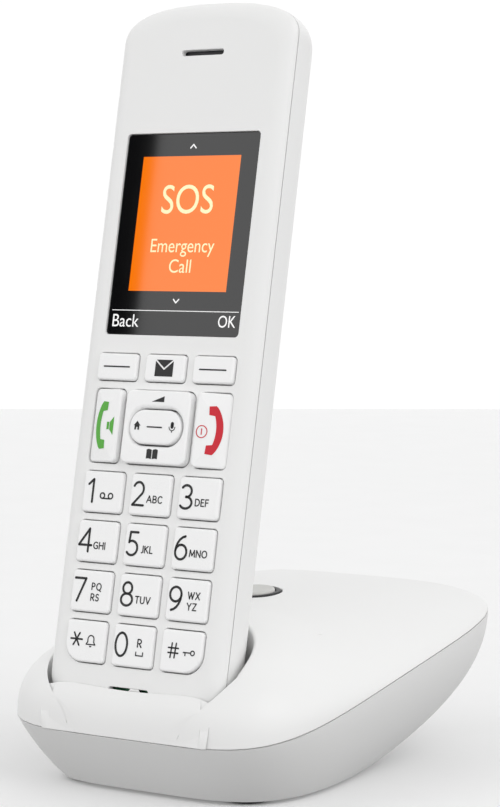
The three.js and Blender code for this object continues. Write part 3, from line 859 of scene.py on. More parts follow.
# %% Digits and letters
LETTERS = {
    "2": ["ABC"], "3": ["DEF"], "4": ["GHI"], "5": ["JKL"], "6": ["MNO"],
    "7": ["PQ", "RS"], "8": ["TUV"], "9": ["WX", "YZ"],
}
DIGIT_HEIGHT, DIGIT_FOOT, DIGIT_X, DIGIT_PEN = 5.75, -2.7, -3.2, 0.56
LETTER_HEIGHT, LETTER_FOOT, LETTER_X = 1.75, -1.8, -0.75
LETTER_PEN, LETTER_GAP = 0.27, 0.2
for row, names in enumerate(DIGITS):
    for column, name in enumerate(names):
        key = keys[f"key_{name}"]
        cx, cb = key["centre"]
        drawings = []
        if name == "1":
            one = stroke([(-1.05, 4.3), (0.25, 5.47), (0.25, 0.28)], DIGIT_PEN)
            drawings.append(shifted(one, cx - 2.9, cb + DIGIT_FOOT))
        elif name not in ("star", "hash"):
            left = cx + DIGIT_X - PEN[name][0] * DIGIT_HEIGHT / 2
            drawings += pen_line(name, DIGIT_HEIGHT, DIGIT_PEN, 0, left, cb + DIGIT_FOOT)
        lines = LETTERS.get(name, [])
        for i, line in enumerate(lines):
            low = LETTER_FOOT if len(lines) == 1 else (0.25 if i == 0 else -2.2)
            left = cx + LETTER_X + (0.9 if len(lines) == 2 else 0)
            drawings += pen_line(line, LETTER_HEIGHT, LETTER_PEN, LETTER_GAP, left, cb + low)
        if name == "1":
            loop = arc((0, 0), 0.62, 0, 360, 24)[:-1]
            drawings += [
                shifted(stroke(loop, 0.34, True), cx + 0.2, cb - 0.85),
                shifted(stroke(loop, 0.34, True), cx + 2.5, cb - 0.85),
                shifted(stroke([(0, -0.62), (2.3, -0.62)], 0.34), cx + 0.2, cb - 0.85),
            ]
        if name == "0":
            drawings += pen_line("R", 2.0, 0.3, 0, cx + 1.3, cb - 0.2)
            tray_sign = stroke([(0, 0.75), (0, 0), (1.9, 0), (1.9, 0.75)], 0.28)
            drawings.append(shifted(tray_sign, cx + 1.2, cb - 1.95))
        if name == "star":
            for turn in (0, 60, 120):
                tip = np.array([math.cos(math.radians(turn)), math.sin(math.radians(turn))]) * 1.6
                drawings.append(shifted(stroke([-tip, tip], 0.42), cx - 2.4, cb + 0.35))
            bell = [(-1.25, -0.75), (-0.85, -0.2), (-0.85, 0.45)]
            bell += [tuple(p) for p in arc((0, 0.45), 0.85, 180, 0, 14)] + [(0.85, -0.2), (1.25, -0.75)]
            drawings.append(shifted(stroke(bell, 0.28, True), cx + 1.7, cb + 0.1))
            drawings.append(shifted(shape(arc((0, -1.05), 0.35, 180, 360, 10)), cx + 1.7, cb + 0.1))
        if name == "hash":
            for d in (-0.55, 0.55):
                for bar in ([(d - 0.12, -1.6), (d + 0.12, 1.6)], [(-1.35, d), (1.35, d)]):
                    drawings.append(shifted(stroke(bar, 0.36), cx - 2.1, cb + 0.1))
            drawings.append(shifted(stroke([(0, 0), (2.0, 0)], 0.3), cx + 0.7, cb - 0.1))
            drawings.append(shifted(stroke([(0.5, 0), (0.5, -0.65)], 0.3), cx + 0.7, cb - 0.1))
            bow = stroke(arc((0, 0), 0.5, 0, 360, 20)[:-1], 0.28, True)
            drawings.append(shifted(bow, cx + 3.2, cb - 0.1))
        legend(f"legend_{name}", drawings, f"key_{name}_body", INK_BLACK, -key["proud"])
print("digits and letters done")

# %% Signs on the upper keys
soft = keys["soft_key_left"]["proud"]
for name in ("soft_key_left", "soft_key_right"):
    cx, cb = keys[name]["centre"]
    dash = stroke([(cx - 3.6, cb), (cx + 3.6, cb)], 0.34)
    legend(f"legend_{name}", [dash], f"{name}_body", INK_BLACK, -soft)
cx, cb = keys["message_key"]["centre"]
envelope = [
    shape([(-2.5, 1.6), (0, -0.45), (2.5, 1.6), (2.5, -1.9), (-2.5, -1.9)]),
    shape([(-2.3, 1.9), (2.3, 1.9), (0, 0.05)]),
]
drawings = [shifted(item, cx, cb) for item in envelope]
legend("legend_message", drawings, "message_key_body", INK_BLACK, -soft)


def receiver_shape(centre, side):
    """The receiver's outline. Side -1 bows to the left, +1 to the right."""
    back, front = [], []
    for b in np.linspace(6.3, -6.3, 29):
        bow = 1.9 * (1 - (b / 6.3) ** 2) ** 0.8
        back.append((side * bow, b))
    for b in np.linspace(-3.7, 3.7, 19):
        bow = 1.75 * (1 - (b / 6.3) ** 2) ** 0.8 - 1.35
        front.append((side * bow, b))
    outline = back + [(-side * 1.6, -6.1), (-side * 1.45, -3.9)]
    outline += front + [(-side * 1.45, 3.9), (-side * 1.6, 6.1)]
    return shifted(shape([(x * 1.05, b * 0.87) for x, b in outline]), *centre)


talk, end = keys["talk_key"]["proud"], keys["end_key"]["proud"]
speaker = [
    shape([(-1.1, -0.85), (-1.1, 0.85), (-0.35, 0.85), (-0.35, -0.85)]),
    shape([(-0.15, 0.85), (1.0, 2.1), (1.0, -2.1), (-0.15, -0.85)]),
]
drawings = [receiver_shape((-CALL_X - 1.0, CALL_ROW), -1)]
drawings += [shifted(item, -CALL_X + 1.9, CALL_ROW - 0.1) for item in speaker]
legend("legend_talk", drawings, "talk_key_body", INK_GREEN, -talk, "talk_key")
drawings = [receiver_shape((CALL_X + 0.9, CALL_ROW), 1)]
drawings.append(shifted(stroke(arc((0, 0), 1.35, 0, 360, 30)[:-1], 0.22, True), CALL_X - 2.1, CALL_ROW - 0.4))
drawings.append(shifted(stroke([(0, -0.6), (0, 0.6)], 0.26), CALL_X - 2.1, CALL_ROW - 0.4))
legend("legend_end", drawings, "end_key_body", INK_RED, -end, "end_key")

nav = keys["nav_rocker"]["proud"]
volume = shape([(-1.7, -0.55), (1.75, -0.55), (1.75, 0.75)])
book = [
    shape([(-1.55, 1.05), (-0.9, 1.2), (-0.12, 1.0), (-0.12, -1.1), (-0.9, -0.95), (-1.55, -1.05)]),
    shape([(1.55, 1.05), (0.9, 1.2), (0.12, 1.0), (0.12, -1.1), (0.9, -0.95), (1.55, -1.05)]),
]
drawings = [shifted(volume, 0, CALL_ROW + 6.3)] + [shifted(item, 0, CALL_ROW - 6.1) for item in book]
legend("legend_nav", drawings, "nav_rocker_body", INK_BLACK, -nav)
home = [
    shape([(-0.95, 0.0), (0, 1.05), (0.95, 0.0)]),
    shape([(-0.65, 0.05), (-0.65, -0.95), (-0.2, -0.95), (-0.2, 0.05)]),
    shape([(0.65, 0.05), (0.65, -0.95), (0.2, -0.95), (0.2, 0.05)]),
    shape([(-0.3, 0.05), (0.3, 0.05), (0.3, -0.35), (-0.3, -0.35)]),
]
mic = [
    stroke([(0, 0.75), (0, 0.05)], 0.85),
    stroke(arc((0, 0.0), 0.8, 180, 360, 14), 0.2),
    stroke([(0, -0.8), (0, -1.15)], 0.24),
]
drawings = [shifted(item, -4.9, CALL_ROW + 0.2) for item in home]
drawings += [shifted(item, 4.9, CALL_ROW + 0.2) for item in mic]
drawings.append(stroke([(-2.0, CALL_ROW), (2.0, CALL_ROW)], 0.32))
legend("legend_centre", drawings, "nav_centre_body", INK_BLACK, -CENTRE_PROUD)
print("signs done")

# %% Words on the display
screen = WINDOW_RECESS


def boxed(words, left, right, low, high):
    """The words scaled to fill a box of the display."""
    points, faces = flat_text(words)
    size = points.max(0)
    return points / size * np.array([right - left, high - low]) + np.array([left, low]), faces


drawings = [
    boxed("SOS", -7.0, 7.4, 4.7, 11.4),
    boxed("Emergency", -8.7, 9.1, -5.2, -1.1),
    boxed("Call", -2.9, 3.2, -8.9, -5.8),
]
legend("picture_words", drawings, "handset", SCREEN_CREAM, screen, thickness=0.02)
chevron = [(-0.75, -0.4), (0, 0.4), (0.75, -0.4)]
drawings = [
    shifted(stroke(chevron, 0.3), 0.15, 20.3),
    shifted(stroke([(x, -b) for x, b in chevron], 0.3), 0.15, -15.4),
    stroke([(-17.6, -17.65), (17.8, -17.65)], 0.16),
    boxed("Back", -17.2, -9.7, -21.5, -18.6),
    boxed("OK", 12.5, 17.3, -21.2, -18.5),
]
legend("menu_words", drawings, "handset", SCREEN_WHITE, screen, thickness=0.02)
print("display words done")

# %% [markdown]
# ## The base's plan and its parting line
# From above the base is a rounded rectangle whose sides swell, a superellipse. Its two halves
# meet on a line that climbs towards the back. Its four limits give all of that: the CAD's
# base shells are measured, so the curves can be repeated here at a much finer step.

# %% The base's plan
low, high = (np.array(corner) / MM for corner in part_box("base_lower_shell"))
BASE_HALF_X = (high[0] - low[0]) / 2
BASE_HALF_Y = (high[1] - low[1]) / 2
OUTLINE_POWER = 4.9
PART_FRONT_Z, PART_RISE = 14.0, 0.2126
CROWN, CROWN_FALL, CROWN_SHIFT, CROWN_SQUARE = 19.65, 0.045, 16.0, 2.8
SIDE_POWER, FRONT_POWER = 1.675, 2.64
SIDE_ROUND, FRONT_ROUND = 1.6, 2.05
LIP_DIP, LIP_HALF, LIP_Y, LIP_FADE = 3.2, 30.0, -51.0, 7.0
BOWL, FOOT_LIFT, BASE_WALL = 33.0, 0.9, 2.0


def parting_height(y):
    return PART_FRONT_Z + PART_RISE * (y + BASE_HALF_Y)


def plan_ring(scale, power, shift=0.0, shrink=0.0, steps=240):
    turns = np.linspace(0, 2 * np.pi, steps, endpoint=False)
    x = (BASE_HALF_X - shrink) * scale * squashed(np.cos(turns), 2 / power)
    y = (BASE_HALF_Y - shrink) * scale * squashed(np.sin(turns), 2 / power) - shift
    return x, y


def crown_at(scale, x, y):
    """Height of the dome at the ring of the given scale, steeper straight ahead than at the sides."""
    shift = CROWN_SHIFT * (1 - scale)
    ahead = np.maximum(0, -np.sin(np.arctan2((y + shift) / BASE_HALF_Y, x / BASE_HALF_X))) ** 2
    inward, roundness = SIDE_POWER + FRONT_POWER * ahead, SIDE_ROUND + FRONT_ROUND * ahead
    rise = CROWN - CROWN_FALL * (y + BASE_HALF_Y)
    return parting_height(y) + rise * np.maximum(0, 1 - scale ** inward) ** (1 / roundness)


def lip_dip(x, y):
    """How far the lip in front of the handset dips in its middle."""
    across = np.clip(1 - (x / LIP_HALF) ** 2, 0, 1) ** 1.6
    return LIP_DIP * across * np.exp(-(np.maximum(0, y - LIP_Y) / LIP_FADE) ** 2)


def dome_height(x, y):
    """Height of the dome above any place of the plan, by halving the interval of scales."""
    x, y = np.asarray(x, float), np.asarray(y, float)
    inner, outer = np.full(x.shape, 0.005), np.full(x.shape, 1.0)
    for _ in range(40):
        scale = (inner + outer) / 2
        power = OUTLINE_POWER - CROWN_SQUARE * (1 - scale)
        shift = CROWN_SHIFT * (1 - scale)
        reach = (np.abs(x) / (BASE_HALF_X * scale)) ** power
        reach = reach + (np.abs(y + shift) / (BASE_HALF_Y * scale)) ** power
        outside = reach > 1
        inner = np.where(outside, scale, inner)
        outer = np.where(outside, outer, scale)
    return np.maximum(crown_at(outer, x, y) - lip_dip(x, y), parting_height(y) + SEAM)


print("base", round(2 * BASE_HALF_X, 1), "by", round(2 * BASE_HALF_Y, 1), "mm")
print("crown", dome_height(0, 10).round(1), "mm high")

# %% [markdown]
# ## The base's top shell
# This is the largest smooth surface of all, so its mesh runs with its form: lines start at the
# pocket's rim and fan out to the outline, closer together where the surface turns down. The
# rim rolls over a small radius into the pocket, whose walls run down along the handset.
# The pocket's outline is worked out where those walls meet the dome.


# %% The pocket's rim
POCKET_SIDE, POCKET_FRONT, POCKET_FLOOR = 1.5, 0.5, -111.2
CUP_WALL = 1.5
POCKET_MIDDLE = (0.0, -28.0)


def pocket_plan(grow=0.0, count=280):
    """The pocket's cross-section in x and t, evenly stepped, starting at its right side."""
    half = HAND_HALF + POCKET_SIDE + grow
    front = POCKET_FRONT + grow
    roll = EDGE + grow
    back = [(half * math.cos(a), PARTING + (REAR_DEPTH + POCKET_SIDE + grow) * math.sin(a))
            for a in np.linspace(0, math.pi, 200)]
    left = [(-half + roll * (1 - math.sin(a)), PARTING - (PARTING + front) * math.cos(a))
            for a in np.linspace(math.pi / 2, 0, 30)]
    right = [(half - roll * (1 - math.sin(a)), PARTING - (PARTING + front) * math.cos(a))
             for a in np.linspace(0, math.pi / 2, 30)]
    flat = [(x, -front) for x in np.linspace(-half + roll, half - roll, 60)]
    path = np.array(back + left[1:] + flat[1:-1] + right[:-1])
    closed = np.vstack([path, path[:1]])
    steps = np.linalg.norm(np.diff(closed, axis=0), axis=1)
    reach = np.concatenate([[0], np.cumsum(steps)])
    wanted = np.linspace(0, reach[-1], count, endpoint=False)
    return np.stack([np.interp(wanted, reach, closed[:, k]) for k in (0, 1)], 1)


def inside_height(x, y):
    """The underside of the dome, one wall below its outside."""
    stretch_x = BASE_HALF_X / (BASE_HALF_X - BASE_WALL)
    stretch_y = BASE_HALF_Y / (BASE_HALF_Y - BASE_WALL)
    return dome_height(np.asarray(x) * stretch_x, np.asarray(y) * stretch_y) - BASE_WALL


def meet(section, height):
    """How far along the handset each line through the pocket's section meets a surface."""
    x, t = section[:, 0], section[:, 1]
    down, up = np.full(x.shape, -112.0), np.full(x.shape, -60.0)
    for _ in range(40):
        b = (down + up) / 2
        p = on_handset(x, b, t) / MM
        above = p[:, 2] > height(p[:, 0], p[:, 1])
        up = np.where(above, b, up)
        down = np.where(above, down, b)
    return (down + up) / 2


def down_wall(section, b):
    return on_handset(section[:, 0], b, section[:, 1])


plan = pocket_plan()
rim_b = meet(plan, dome_height)
rim = down_wall(plan, rim_b)
print("rim from", (rim[:, 2].min() / MM).round(1), "to", (rim[:, 2].max() / MM).round(1), "mm high")

# %% Loft the top shell
RIM_ROLL = 0.8
PLUG_FOOT = 9.0
LIP_ZONE_Y, LIP_WALL = -40.0, 0.7
RING_STEPS = 44
turns = np.linspace(0, 2 * np.pi, 4000, endpoint=False)
edge_x = BASE_HALF_X * squashed(np.cos(turns), 2 / OUTLINE_POWER)
edge_y = BASE_HALF_Y * squashed(np.sin(turns), 2 / OUTLINE_POWER)


def outline_towards(points):
    """The outline's point in the direction of each rim point, seen from the pocket's middle."""
    aim = points[:, :2] / MM - np.array(POCKET_MIDDLE)
    wanted = np.arctan2(aim[:, 1] / 13, aim[:, 0] / 26)
    have = np.unwrap(np.arctan2((edge_y - POCKET_MIDDLE[1]) / 34, edge_x / BASE_HALF_X))
    wanted = (wanted - have[0]) % (2 * np.pi) + have[0]
    have = np.append(have, have[0] + 2 * np.pi)
    return np.stack([
        np.interp(wanted, have, np.append(edge_x, edge_x[0])),
        np.interp(wanted, have, np.append(edge_y, edge_y[0])),
    ], 1)


def between(near, far, share, height):
    flat = near[:, :2] / MM * (1 - share) + far * share
    return np.column_stack([flat, height(flat[:, 0], flat[:, 1])]) * MM


rolled = pocket_plan(RIM_ROLL)
wide = down_wall(rolled, meet(rolled, dome_height))
edge = outline_towards(wide)
low_rim = down_wall(plan, rim_b - RIM_ROLL)


def drawn_in(points):
    """Moves the pocket's foot back wherever it would come through the front of the dome."""
    x, y, z = points.T / MM
    front = y < LIP_ZONE_Y
    for _ in range(40):
        y = np.where(front & (dome_height(x, y) < z + LIP_WALL), y + 0.1, y)
    return np.column_stack([x, y, z]) * MM


rings = [drawn_in(down_wall(plan, POCKET_FLOOR)), low_rim]
for share in np.linspace(0.12, 1, 8):
    rings.append((1 - share) ** 2 * low_rim + 2 * share * (1 - share) * rim + share ** 2 * wide)
for turn in np.radians(np.linspace(0, 89.0, RING_STEPS))[1:]:
    rings.append(between(wide, edge, math.sin(turn), dome_height))
rings.append(between(wide, edge, 1.0, lambda x, y: parting_height(y) + SEAM))
ledge = edge * (1 - 1.5 * BASE_WALL / BASE_HALF_X)
rings.append(between(wide, ledge, 1.0, lambda x, y: parting_height(y) + SEAM))
rings.append(between(wide, ledge, 1.0, lambda x, y: np.full(x.shape, PLUG_FOOT)))
top_shell = loft("base_top_skin", rings)

rounds = np.linspace(0, 2 * np.pi, 160, endpoint=False)
void_x = (BASE_HALF_X - BASE_WALL) * squashed(np.cos(rounds), 2 / OUTLINE_POWER)
void_y = (BASE_HALF_Y - BASE_WALL) * squashed(np.sin(rounds), 2 / OUTLINE_POWER)
rings = [np.column_stack([void_x, void_y, np.full(void_x.shape, PLUG_FOOT - 4)]) * MM]
for turn in np.radians(np.linspace(89.0, 1.0, 34)):
    x, y = void_x * math.sin(turn), void_y * math.sin(turn)
    rings.append(np.column_stack([x, y, inside_height(x, y)]) * MM)
void = loft("cutter", rings)
cup = pocket_plan(CUP_WALL, 160)
carve(void, [loft("cutter", [down_wall(cup, POCKET_FLOOR - CUP_WALL), down_wall(cup, -60.0)])])
carve(top_shell, [void], solver="MANIFOLD")
print("top shell skin", len(top_shell.data.polygons), "faces")

# %% [markdown]
# ## The page button
# A small round button sits on the crown, in a dark ring, to make the handset ring when it is
# lost. It follows the crown's slope. The button, its ring and its hole share one axis, which is
# the joint's axis, so their profiles are simply turned about it.

# %% Page button, ring and hole
PAGE_RADIUS, RING_RADIUS, STEM_RADIUS, STEM_LENGTH = 5.2, 6.6, 1.5, 29.2
page_down = np.array(JOINTS["page_press"]["axis"], float)
page_ahead = np.cross(page_down, ACROSS)
ring_low, ring_high = (np.array(corner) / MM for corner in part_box("page_ring"))
RING_HALF_DEPTH = 1.65
PAGE_TOP = (ring_low + ring_high) / 2 - page_down * RING_HALF_DEPTH


def on_page(x, y, h):
    """Places a point about the button's axis: h above the dome."""
    x, y, h = np.broadcast_arrays(np.asarray(x, float), np.asarray(y, float), np.asarray(h, float))
    p = PAGE_TOP + x[..., None] * ACROSS - y[..., None] * page_ahead - h[..., None] * page_down
    return p * MM


def turned(name, profile, place, centre=(0, 0), steps=64):
    """A piece turned about an axis: the profile gives radius and height."""
    around = np.linspace(0, 2 * np.pi, steps, endpoint=False)
    rings = [place(centre[0] + r * np.cos(around), centre[1] + r * np.sin(around), h) for r, h in profile]
    return loft(name, rings)


def softened(radius, top, roll, steps=6):
    """The profile of a rolled edge: from its side up to its top."""
    angles = np.radians(np.linspace(0, 90, steps))
    return [(radius - roll * (1 - math.cos(a)), top - roll * (1 - math.sin(a))) for a in angles]


hole = [(RING_RADIUS + 0.3, -9), (RING_RADIUS + 0.3, -0.5)]
for a in np.radians([20, 40, 60, 80, 90]):
    hole.append((RING_RADIUS + 0.3 + 0.5 * (1 - math.cos(a)), -0.5 + 0.5 * math.sin(a)))
hole += [(RING_RADIUS + 1.2, 0.6), (RING_RADIUS + 1.2, 4)]
cutters = [turned("cutter", hole, on_page)]
CONTACT_X, CONTACT_DEPTH = 7.0, 12.0
for x in (-CONTACT_X, CONTACT_X):
    bore = [(1.5, POCKET_FLOOR - 6), (1.5, POCKET_FLOOR), (1.8, POCKET_FLOOR + 0.3), (1.8, POCKET_FLOOR + 3)]
    cutters.append(turned("cutter", bore, lambda u, v, b: on_handset(u, b, v), (x, CONTACT_DEPTH), 32))
carve(top_shell, cutters, solver="MANIFOLD")


def upright(x, y, z):
    x, y, z = np.broadcast_arrays(np.asarray(x, float), np.asarray(y, float), np.asarray(z, float))
    return np.stack([x, y, z], -1) * MM


screw_places = []
for number in (1, 2):
    box_low, box_high = (np.array(corner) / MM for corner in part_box(f"base_screw_{number}"))
    screw_places.append(tuple((box_low + box_high)[:2] / 2))
for place in screw_places:
    roof = float(dome_height(*place)) - 1.0
    boss = turned("boss", [(3.0, 6.0), (3.0, roof)], upright, place, 32)
    carve(top_shell, [boss], "UNION", "MANIFOLD")
    bore = turned("cutter", [(1.4, 0.0), (1.4, 16.0)], upright, place, 24)
    carve(top_shell, [bore], solver="MANIFOLD")
smooth(top_shell)
paint(top_shell, SHELL_WHITE)
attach(top_shell, "base")
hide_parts("base_upper_shell")

profile = [(STEM_RADIUS, -STEM_LENGTH), (STEM_RADIUS, -2.4), (PAGE_RADIUS, -2.4)]
profile += softened(PAGE_RADIUS, 0.7, 0.55)
profile += [(r, 0.7 - 0.35 * (1 - (r / 4.2) ** 2)) for r in (4.2, 3.6, 3.0, 2.2, 1.4, 0.5)]
page_button = turned("page_button_cap", profile, on_page)
smooth(page_button)
paint(page_button, SOFT_GREY)
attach(page_button, "page_body")
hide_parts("page_button")
profile = [(RING_RADIUS, -3.4), (RING_RADIUS, -0.1)] + softened(RING_RADIUS, 0.15, 0.25)
profile += [(PAGE_RADIUS + 0.5, 0.15), (PAGE_RADIUS + 0.32, 0.0)]
profile += [(PAGE_RADIUS + 0.3, -0.2), (PAGE_RADIUS + 0.3, -3.4)]
profile += [profile[0]]
around = np.linspace(0, 2 * np.pi, 64, endpoint=False)
page_ring = loft("page_button_ring", [
    on_page(r * np.cos(around), r * np.sin(around), h) for r, h in profile
], caps=(False, False))
smooth(page_ring)
paint(page_ring, DARK_PLASTIC)
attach(page_ring, "base")
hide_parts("page_ring")
print("page button at", PAGE_TOP.round(1))

# %% [markdown]
# ## The base's bowl
# Below the parting line the base rounds in under itself to a flat underside, which makes it look
# as if it floats. The bowl is a loft like the dome, outside and inside in one closed surface.
# An alcove at the back leads the two cables to their sockets. Feet and screws sit in recesses.

# %% Loft the bowl
BOWL_SCALES = [math.sin(math.radians(a)) for a in np.linspace(90, 2, 40)]


def bowl_ring(scale, shrink, floor):
    """A ring of the bowl, which is conical at the front and round at the back."""
    x, y = plan_ring(scale, OUTLINE_POWER - 3.8 * (1 - scale), 0.0, shrink)
    back = (y + BASE_HALF_Y) / (2 * BASE_HALF_Y)
    drop = (BOWL - shrink) * np.maximum(0, 1 - scale ** (3.1 - 1.05 * back)) ** (1 / (1.05 + 1.15 * back))
    return upright(x, y, np.maximum(parting_height(y) - drop, floor))


outside = [bowl_ring(scale, 0.0, -30.0) for scale in BOWL_SCALES]
outside[0][:, 2] -= SEAM * MM
inside = [bowl_ring(scale, BASE_WALL, FOOT_LIFT + BASE_WALL) for scale in BOWL_SCALES[::2]]
bowl = loft("base_bowl", outside[::-1] + inside)


def slab(x, y, z, roll=0.0, name="slab"):
    """A box whose edges along y are rolled."""
    centre = ((x[0] + x[1]) / 2, (z[0] + z[1]) / 2)
    outline = rounded(x[1] - x[0], z[1] - z[0], max(roll, 0.05), centre, 6)
    return layered(name, outline, [(y[0], 0), (y[1], 0)], lambda u, w, v: upright(u, v, w))


ALCOVE_X, ALCOVE_Y, ALCOVE_TOP, ALCOVE_WALL = 15.0, 31.0, 22.0, 1.6
SOCKETS = {
    "line_socket": dict(mouth_x=(-12.3, -2.7), mouth_z=(11.7, 19.3)),
    "power_socket": dict(mouth_x=(4, 11), mouth_z=(12, 19)),
}
casing = slab(
    (-ALCOVE_X - ALCOVE_WALL, ALCOVE_X + ALCOVE_WALL), (ALCOVE_Y - ALCOVE_WALL, 70),
    (0, ALCOVE_TOP + ALCOVE_WALL), 2.5,
)
carve(casing, [loft("cutter", [r.copy() for r in outside])], "INTERSECT")
carve(bowl, [casing], "UNION")
cutters = [
    slab((-60, 60), (-70, 70), (-40, FOOT_LIFT)),
    slab((-ALCOVE_X, ALCOVE_X), (ALCOVE_Y, 70), (-15, ALCOVE_TOP), 1.6),
]
for socket in SOCKETS.values():
    cutters.append(slab(socket["mouth_x"], (ALCOVE_Y - 3, ALCOVE_Y + 1), socket["mouth_z"], 0.5))
FEET = {}
for name in ("foot_front_left", "foot_front_right", "foot_rear_left", "foot_rear_right"):
    box_low, box_high = (np.array(corner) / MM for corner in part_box(name))
    FEET[name] = tuple((box_low + box_high)[:2] / 2)
    cutters.append(turned("cutter", [(4.8, -2), (4.8, 1.8)], upright, FEET[name], 40))
for place in screw_places:
    cutters.append(turned("cutter", [(3.0, -2), (3.0, 2.0), (1.5, 2.0), (1.5, 5)], upright, place, 32))
carve(bowl, cutters)
smooth(bowl)
# The bowl's darker white is painted shade, not a different plastic.
paint(bowl, BOWL_SHADED_WHITE)
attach(bowl, "base")
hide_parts("base_lower_shell")
print("bowl", len(bowl.data.polygons), "faces")

# %% [markdown]
# ## Feet, screws and contacts
# The feet are soft rubber pads with a raised rim, glued into their recesses. The screws are
# cross-headed. Two sprung pins at the bottom of the pocket press on pads under the handset.

# %% Feet
for name, place in FEET.items():
    profile = [(1.6, 1.5), (4.5, 1.5), (4.5, 0.35), (4.3, 0.08), (4.0, 0.0)]
    profile += [(3.5, 0.0), (3.3, 0.2), (1.6, 0.25)]
    foot = turned(f"{name}_pad", profile, upright, place, 48)
    smooth(foot, 40)
    paint(foot, RUBBER)
    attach(foot, "base")
    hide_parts(name)

# %% Screws
for number, place in enumerate(screw_places, 1):
    profile = [(1.0, 0.28), (2.0, 0.34), (2.5, 0.62), (2.6, 0.95)]
    profile += [(2.6, 1.7), (1.2, 1.7), (1.2, 11.6), (0.4, 12)]
    screw = turned(f"base_screw_{number}_body", profile, upright, place, 40)
    cross = []
    for wide_x, wide_y in ((1.7, 0.32), (0.32, 1.7)):
        outline = rounded(2 * wide_x, 2 * wide_y, 0.2, place, 3)
        cross.append(layered("cutter", outline, [(-1, 0), (0.9, 0.12)], upright))
    carve(screw, cross)
    smooth(screw)
    paint(screw, SPRING_METAL)
    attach(screw, "base")
    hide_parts(f"base_screw_{number}")

# %% Charging pins and pads
for side, x in (("left", -CONTACT_X), ("right", CONTACT_X)):
    profile = [(1.1, -114.5), (1.1, -110.35), (1.02, -110.05)]
    profile += [(0.82, -109.84), (0.5, -109.73), (0.2, -109.7)]
    pin = turned(f"charge_pin_{side}", profile, lambda u, v, b: on_handset(u, b, v), (x, CONTACT_DEPTH), 32)
    smooth(pin)
    paint(pin, CONTACT_GOLD)
    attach(pin, f"contact_{side}")
    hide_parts(f"charge_contact_{side}")
    outline = rounded(4.8, 6.0, 0.5, (x, CONTACT_DEPTH), 5)
    pad = layered(
        f"charge_plate_{side}", outline,
        [(-109.4, 0.35), (-109.3, 0.12), (-109.1, 0), (-106.8, 0)],
        lambda u, v, b: on_handset(u, b, v),
    )
    smooth(pad)
    paint(pad, CONTACT_GOLD)
    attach(pad, "handset")
    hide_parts(f"charge_pad_{side}")
print("feet, screws, pins and pads done")

# %% [markdown]
# ## The sockets
# The line socket is a modular jack with four sprung wires. The
# power socket is a round barrel with a centre pin. Both are dark boxes behind the alcove's wall.

# %% Sockets
SOCKET_Y = (17.0, ALCOVE_Y - ALCOVE_WALL - 0.3)
for name, socket in SOCKETS.items():
    box_low, box_high = (np.array(corner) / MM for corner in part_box(name))
    block = slab((box_low[0], box_high[0]), SOCKET_Y, (box_low[2], box_high[2]), 0.4, f"{name}_housing")
    mouth_x, mouth_z = socket["mouth_x"], socket["mouth_z"]
    carve(block, [slab(mouth_x, (SOCKET_Y[0] + 2, 40), mouth_z, 0.5)])
    smooth(block)
    paint(block, DARK_PLASTIC)
    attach(block, "base")
    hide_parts(name)
wires = []
for k in range(4):
    x = -7.5 + (k - 1.5) * 1.27
    path = [(28.2, 19.05), (27.0, 18.9), (22.5, 15.2), (21.0, 14.6), (19.4, 14.4)]
    rings = []
    for y, z in path:
        around = np.linspace(0, 2 * np.pi, 9)[:-1]
        rings.append(upright(x + 0.22 * np.cos(around), y, z + 0.22 * np.sin(around)))
    wires.append(loft(f"wire_{k}", rings))
line_wires = join("line_socket_wires", wires)
smooth(line_wires)
paint(line_wires, CONTACT_GOLD)
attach(line_wires, "base")
pin = turned("power_socket_pin", [(0.95, 19.1), (0.95, 26.2), (0.8, 26.7), (0.4, 26.9)],
             lambda u, w, y: upright(u, y, w), (7.5, 15.5), 32)
smooth(pin)
paint(pin, SPRING_METAL)
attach(pin, "base")
print("sockets done")

# %% [markdown]
# ## Pieces that the CAD already shapes well
# The boards, sound pieces, mat, cells and battery springs are inside and have the right forms.
# They stay as they are and only get their finishes.

# %% Finishes on the inner pieces
INNER = {
    "handset_board": BOARD, "base_board": BOARD, "earpiece": DARK_PLASTIC, "loudspeaker": DARK_PLASTIC,
    "page_switch": DARK_PLASTIC, "display_module": DARK_PLASTIC, "keypad_mat": SOFT_GREY,
    "microphone": SPRING_METAL, "battery_contact_top": SPRING_METAL, "battery_contact_bottom": SPRING_METAL,
    "battery_cell_left": CELL_SLEEVE, "battery_cell_right": CELL_SLEEVE,
}
for name, finish in INNER.items():
    paint(frame["nodes"][name], finish)
print(len(INNER), "inner pieces painted")

# %% [markdown]
# ## The studio
# The telephone stands on a near-white floor before a white backdrop. A soft surround gives even
# light from above and little from below, and a large softbox high on the right makes that side
# brightest. The floor is left out of the bounced light, as if it stood far below, so the bowl
# falls into a gentle grey, deepened by painted shade in the bowl's darker colour. Floor and
# backdrop are a stage, not part of the object.

# %% Floor, backdrop and light
floor = layered("studio_floor", rounded(8000, 8000, 3900, (0, 0), 24), [(-4, 0), (0, 0)], upright)
floor.location.z = -0.00002
floor.visible_diffuse = False
FLOOR = moulded("studio_paper", (0.94, 0.94, 0.94), 0.95, 0.00002, grain=900)
FLOOR.set("Specular IOR Level", 0.1)
paint(floor, FLOOR)

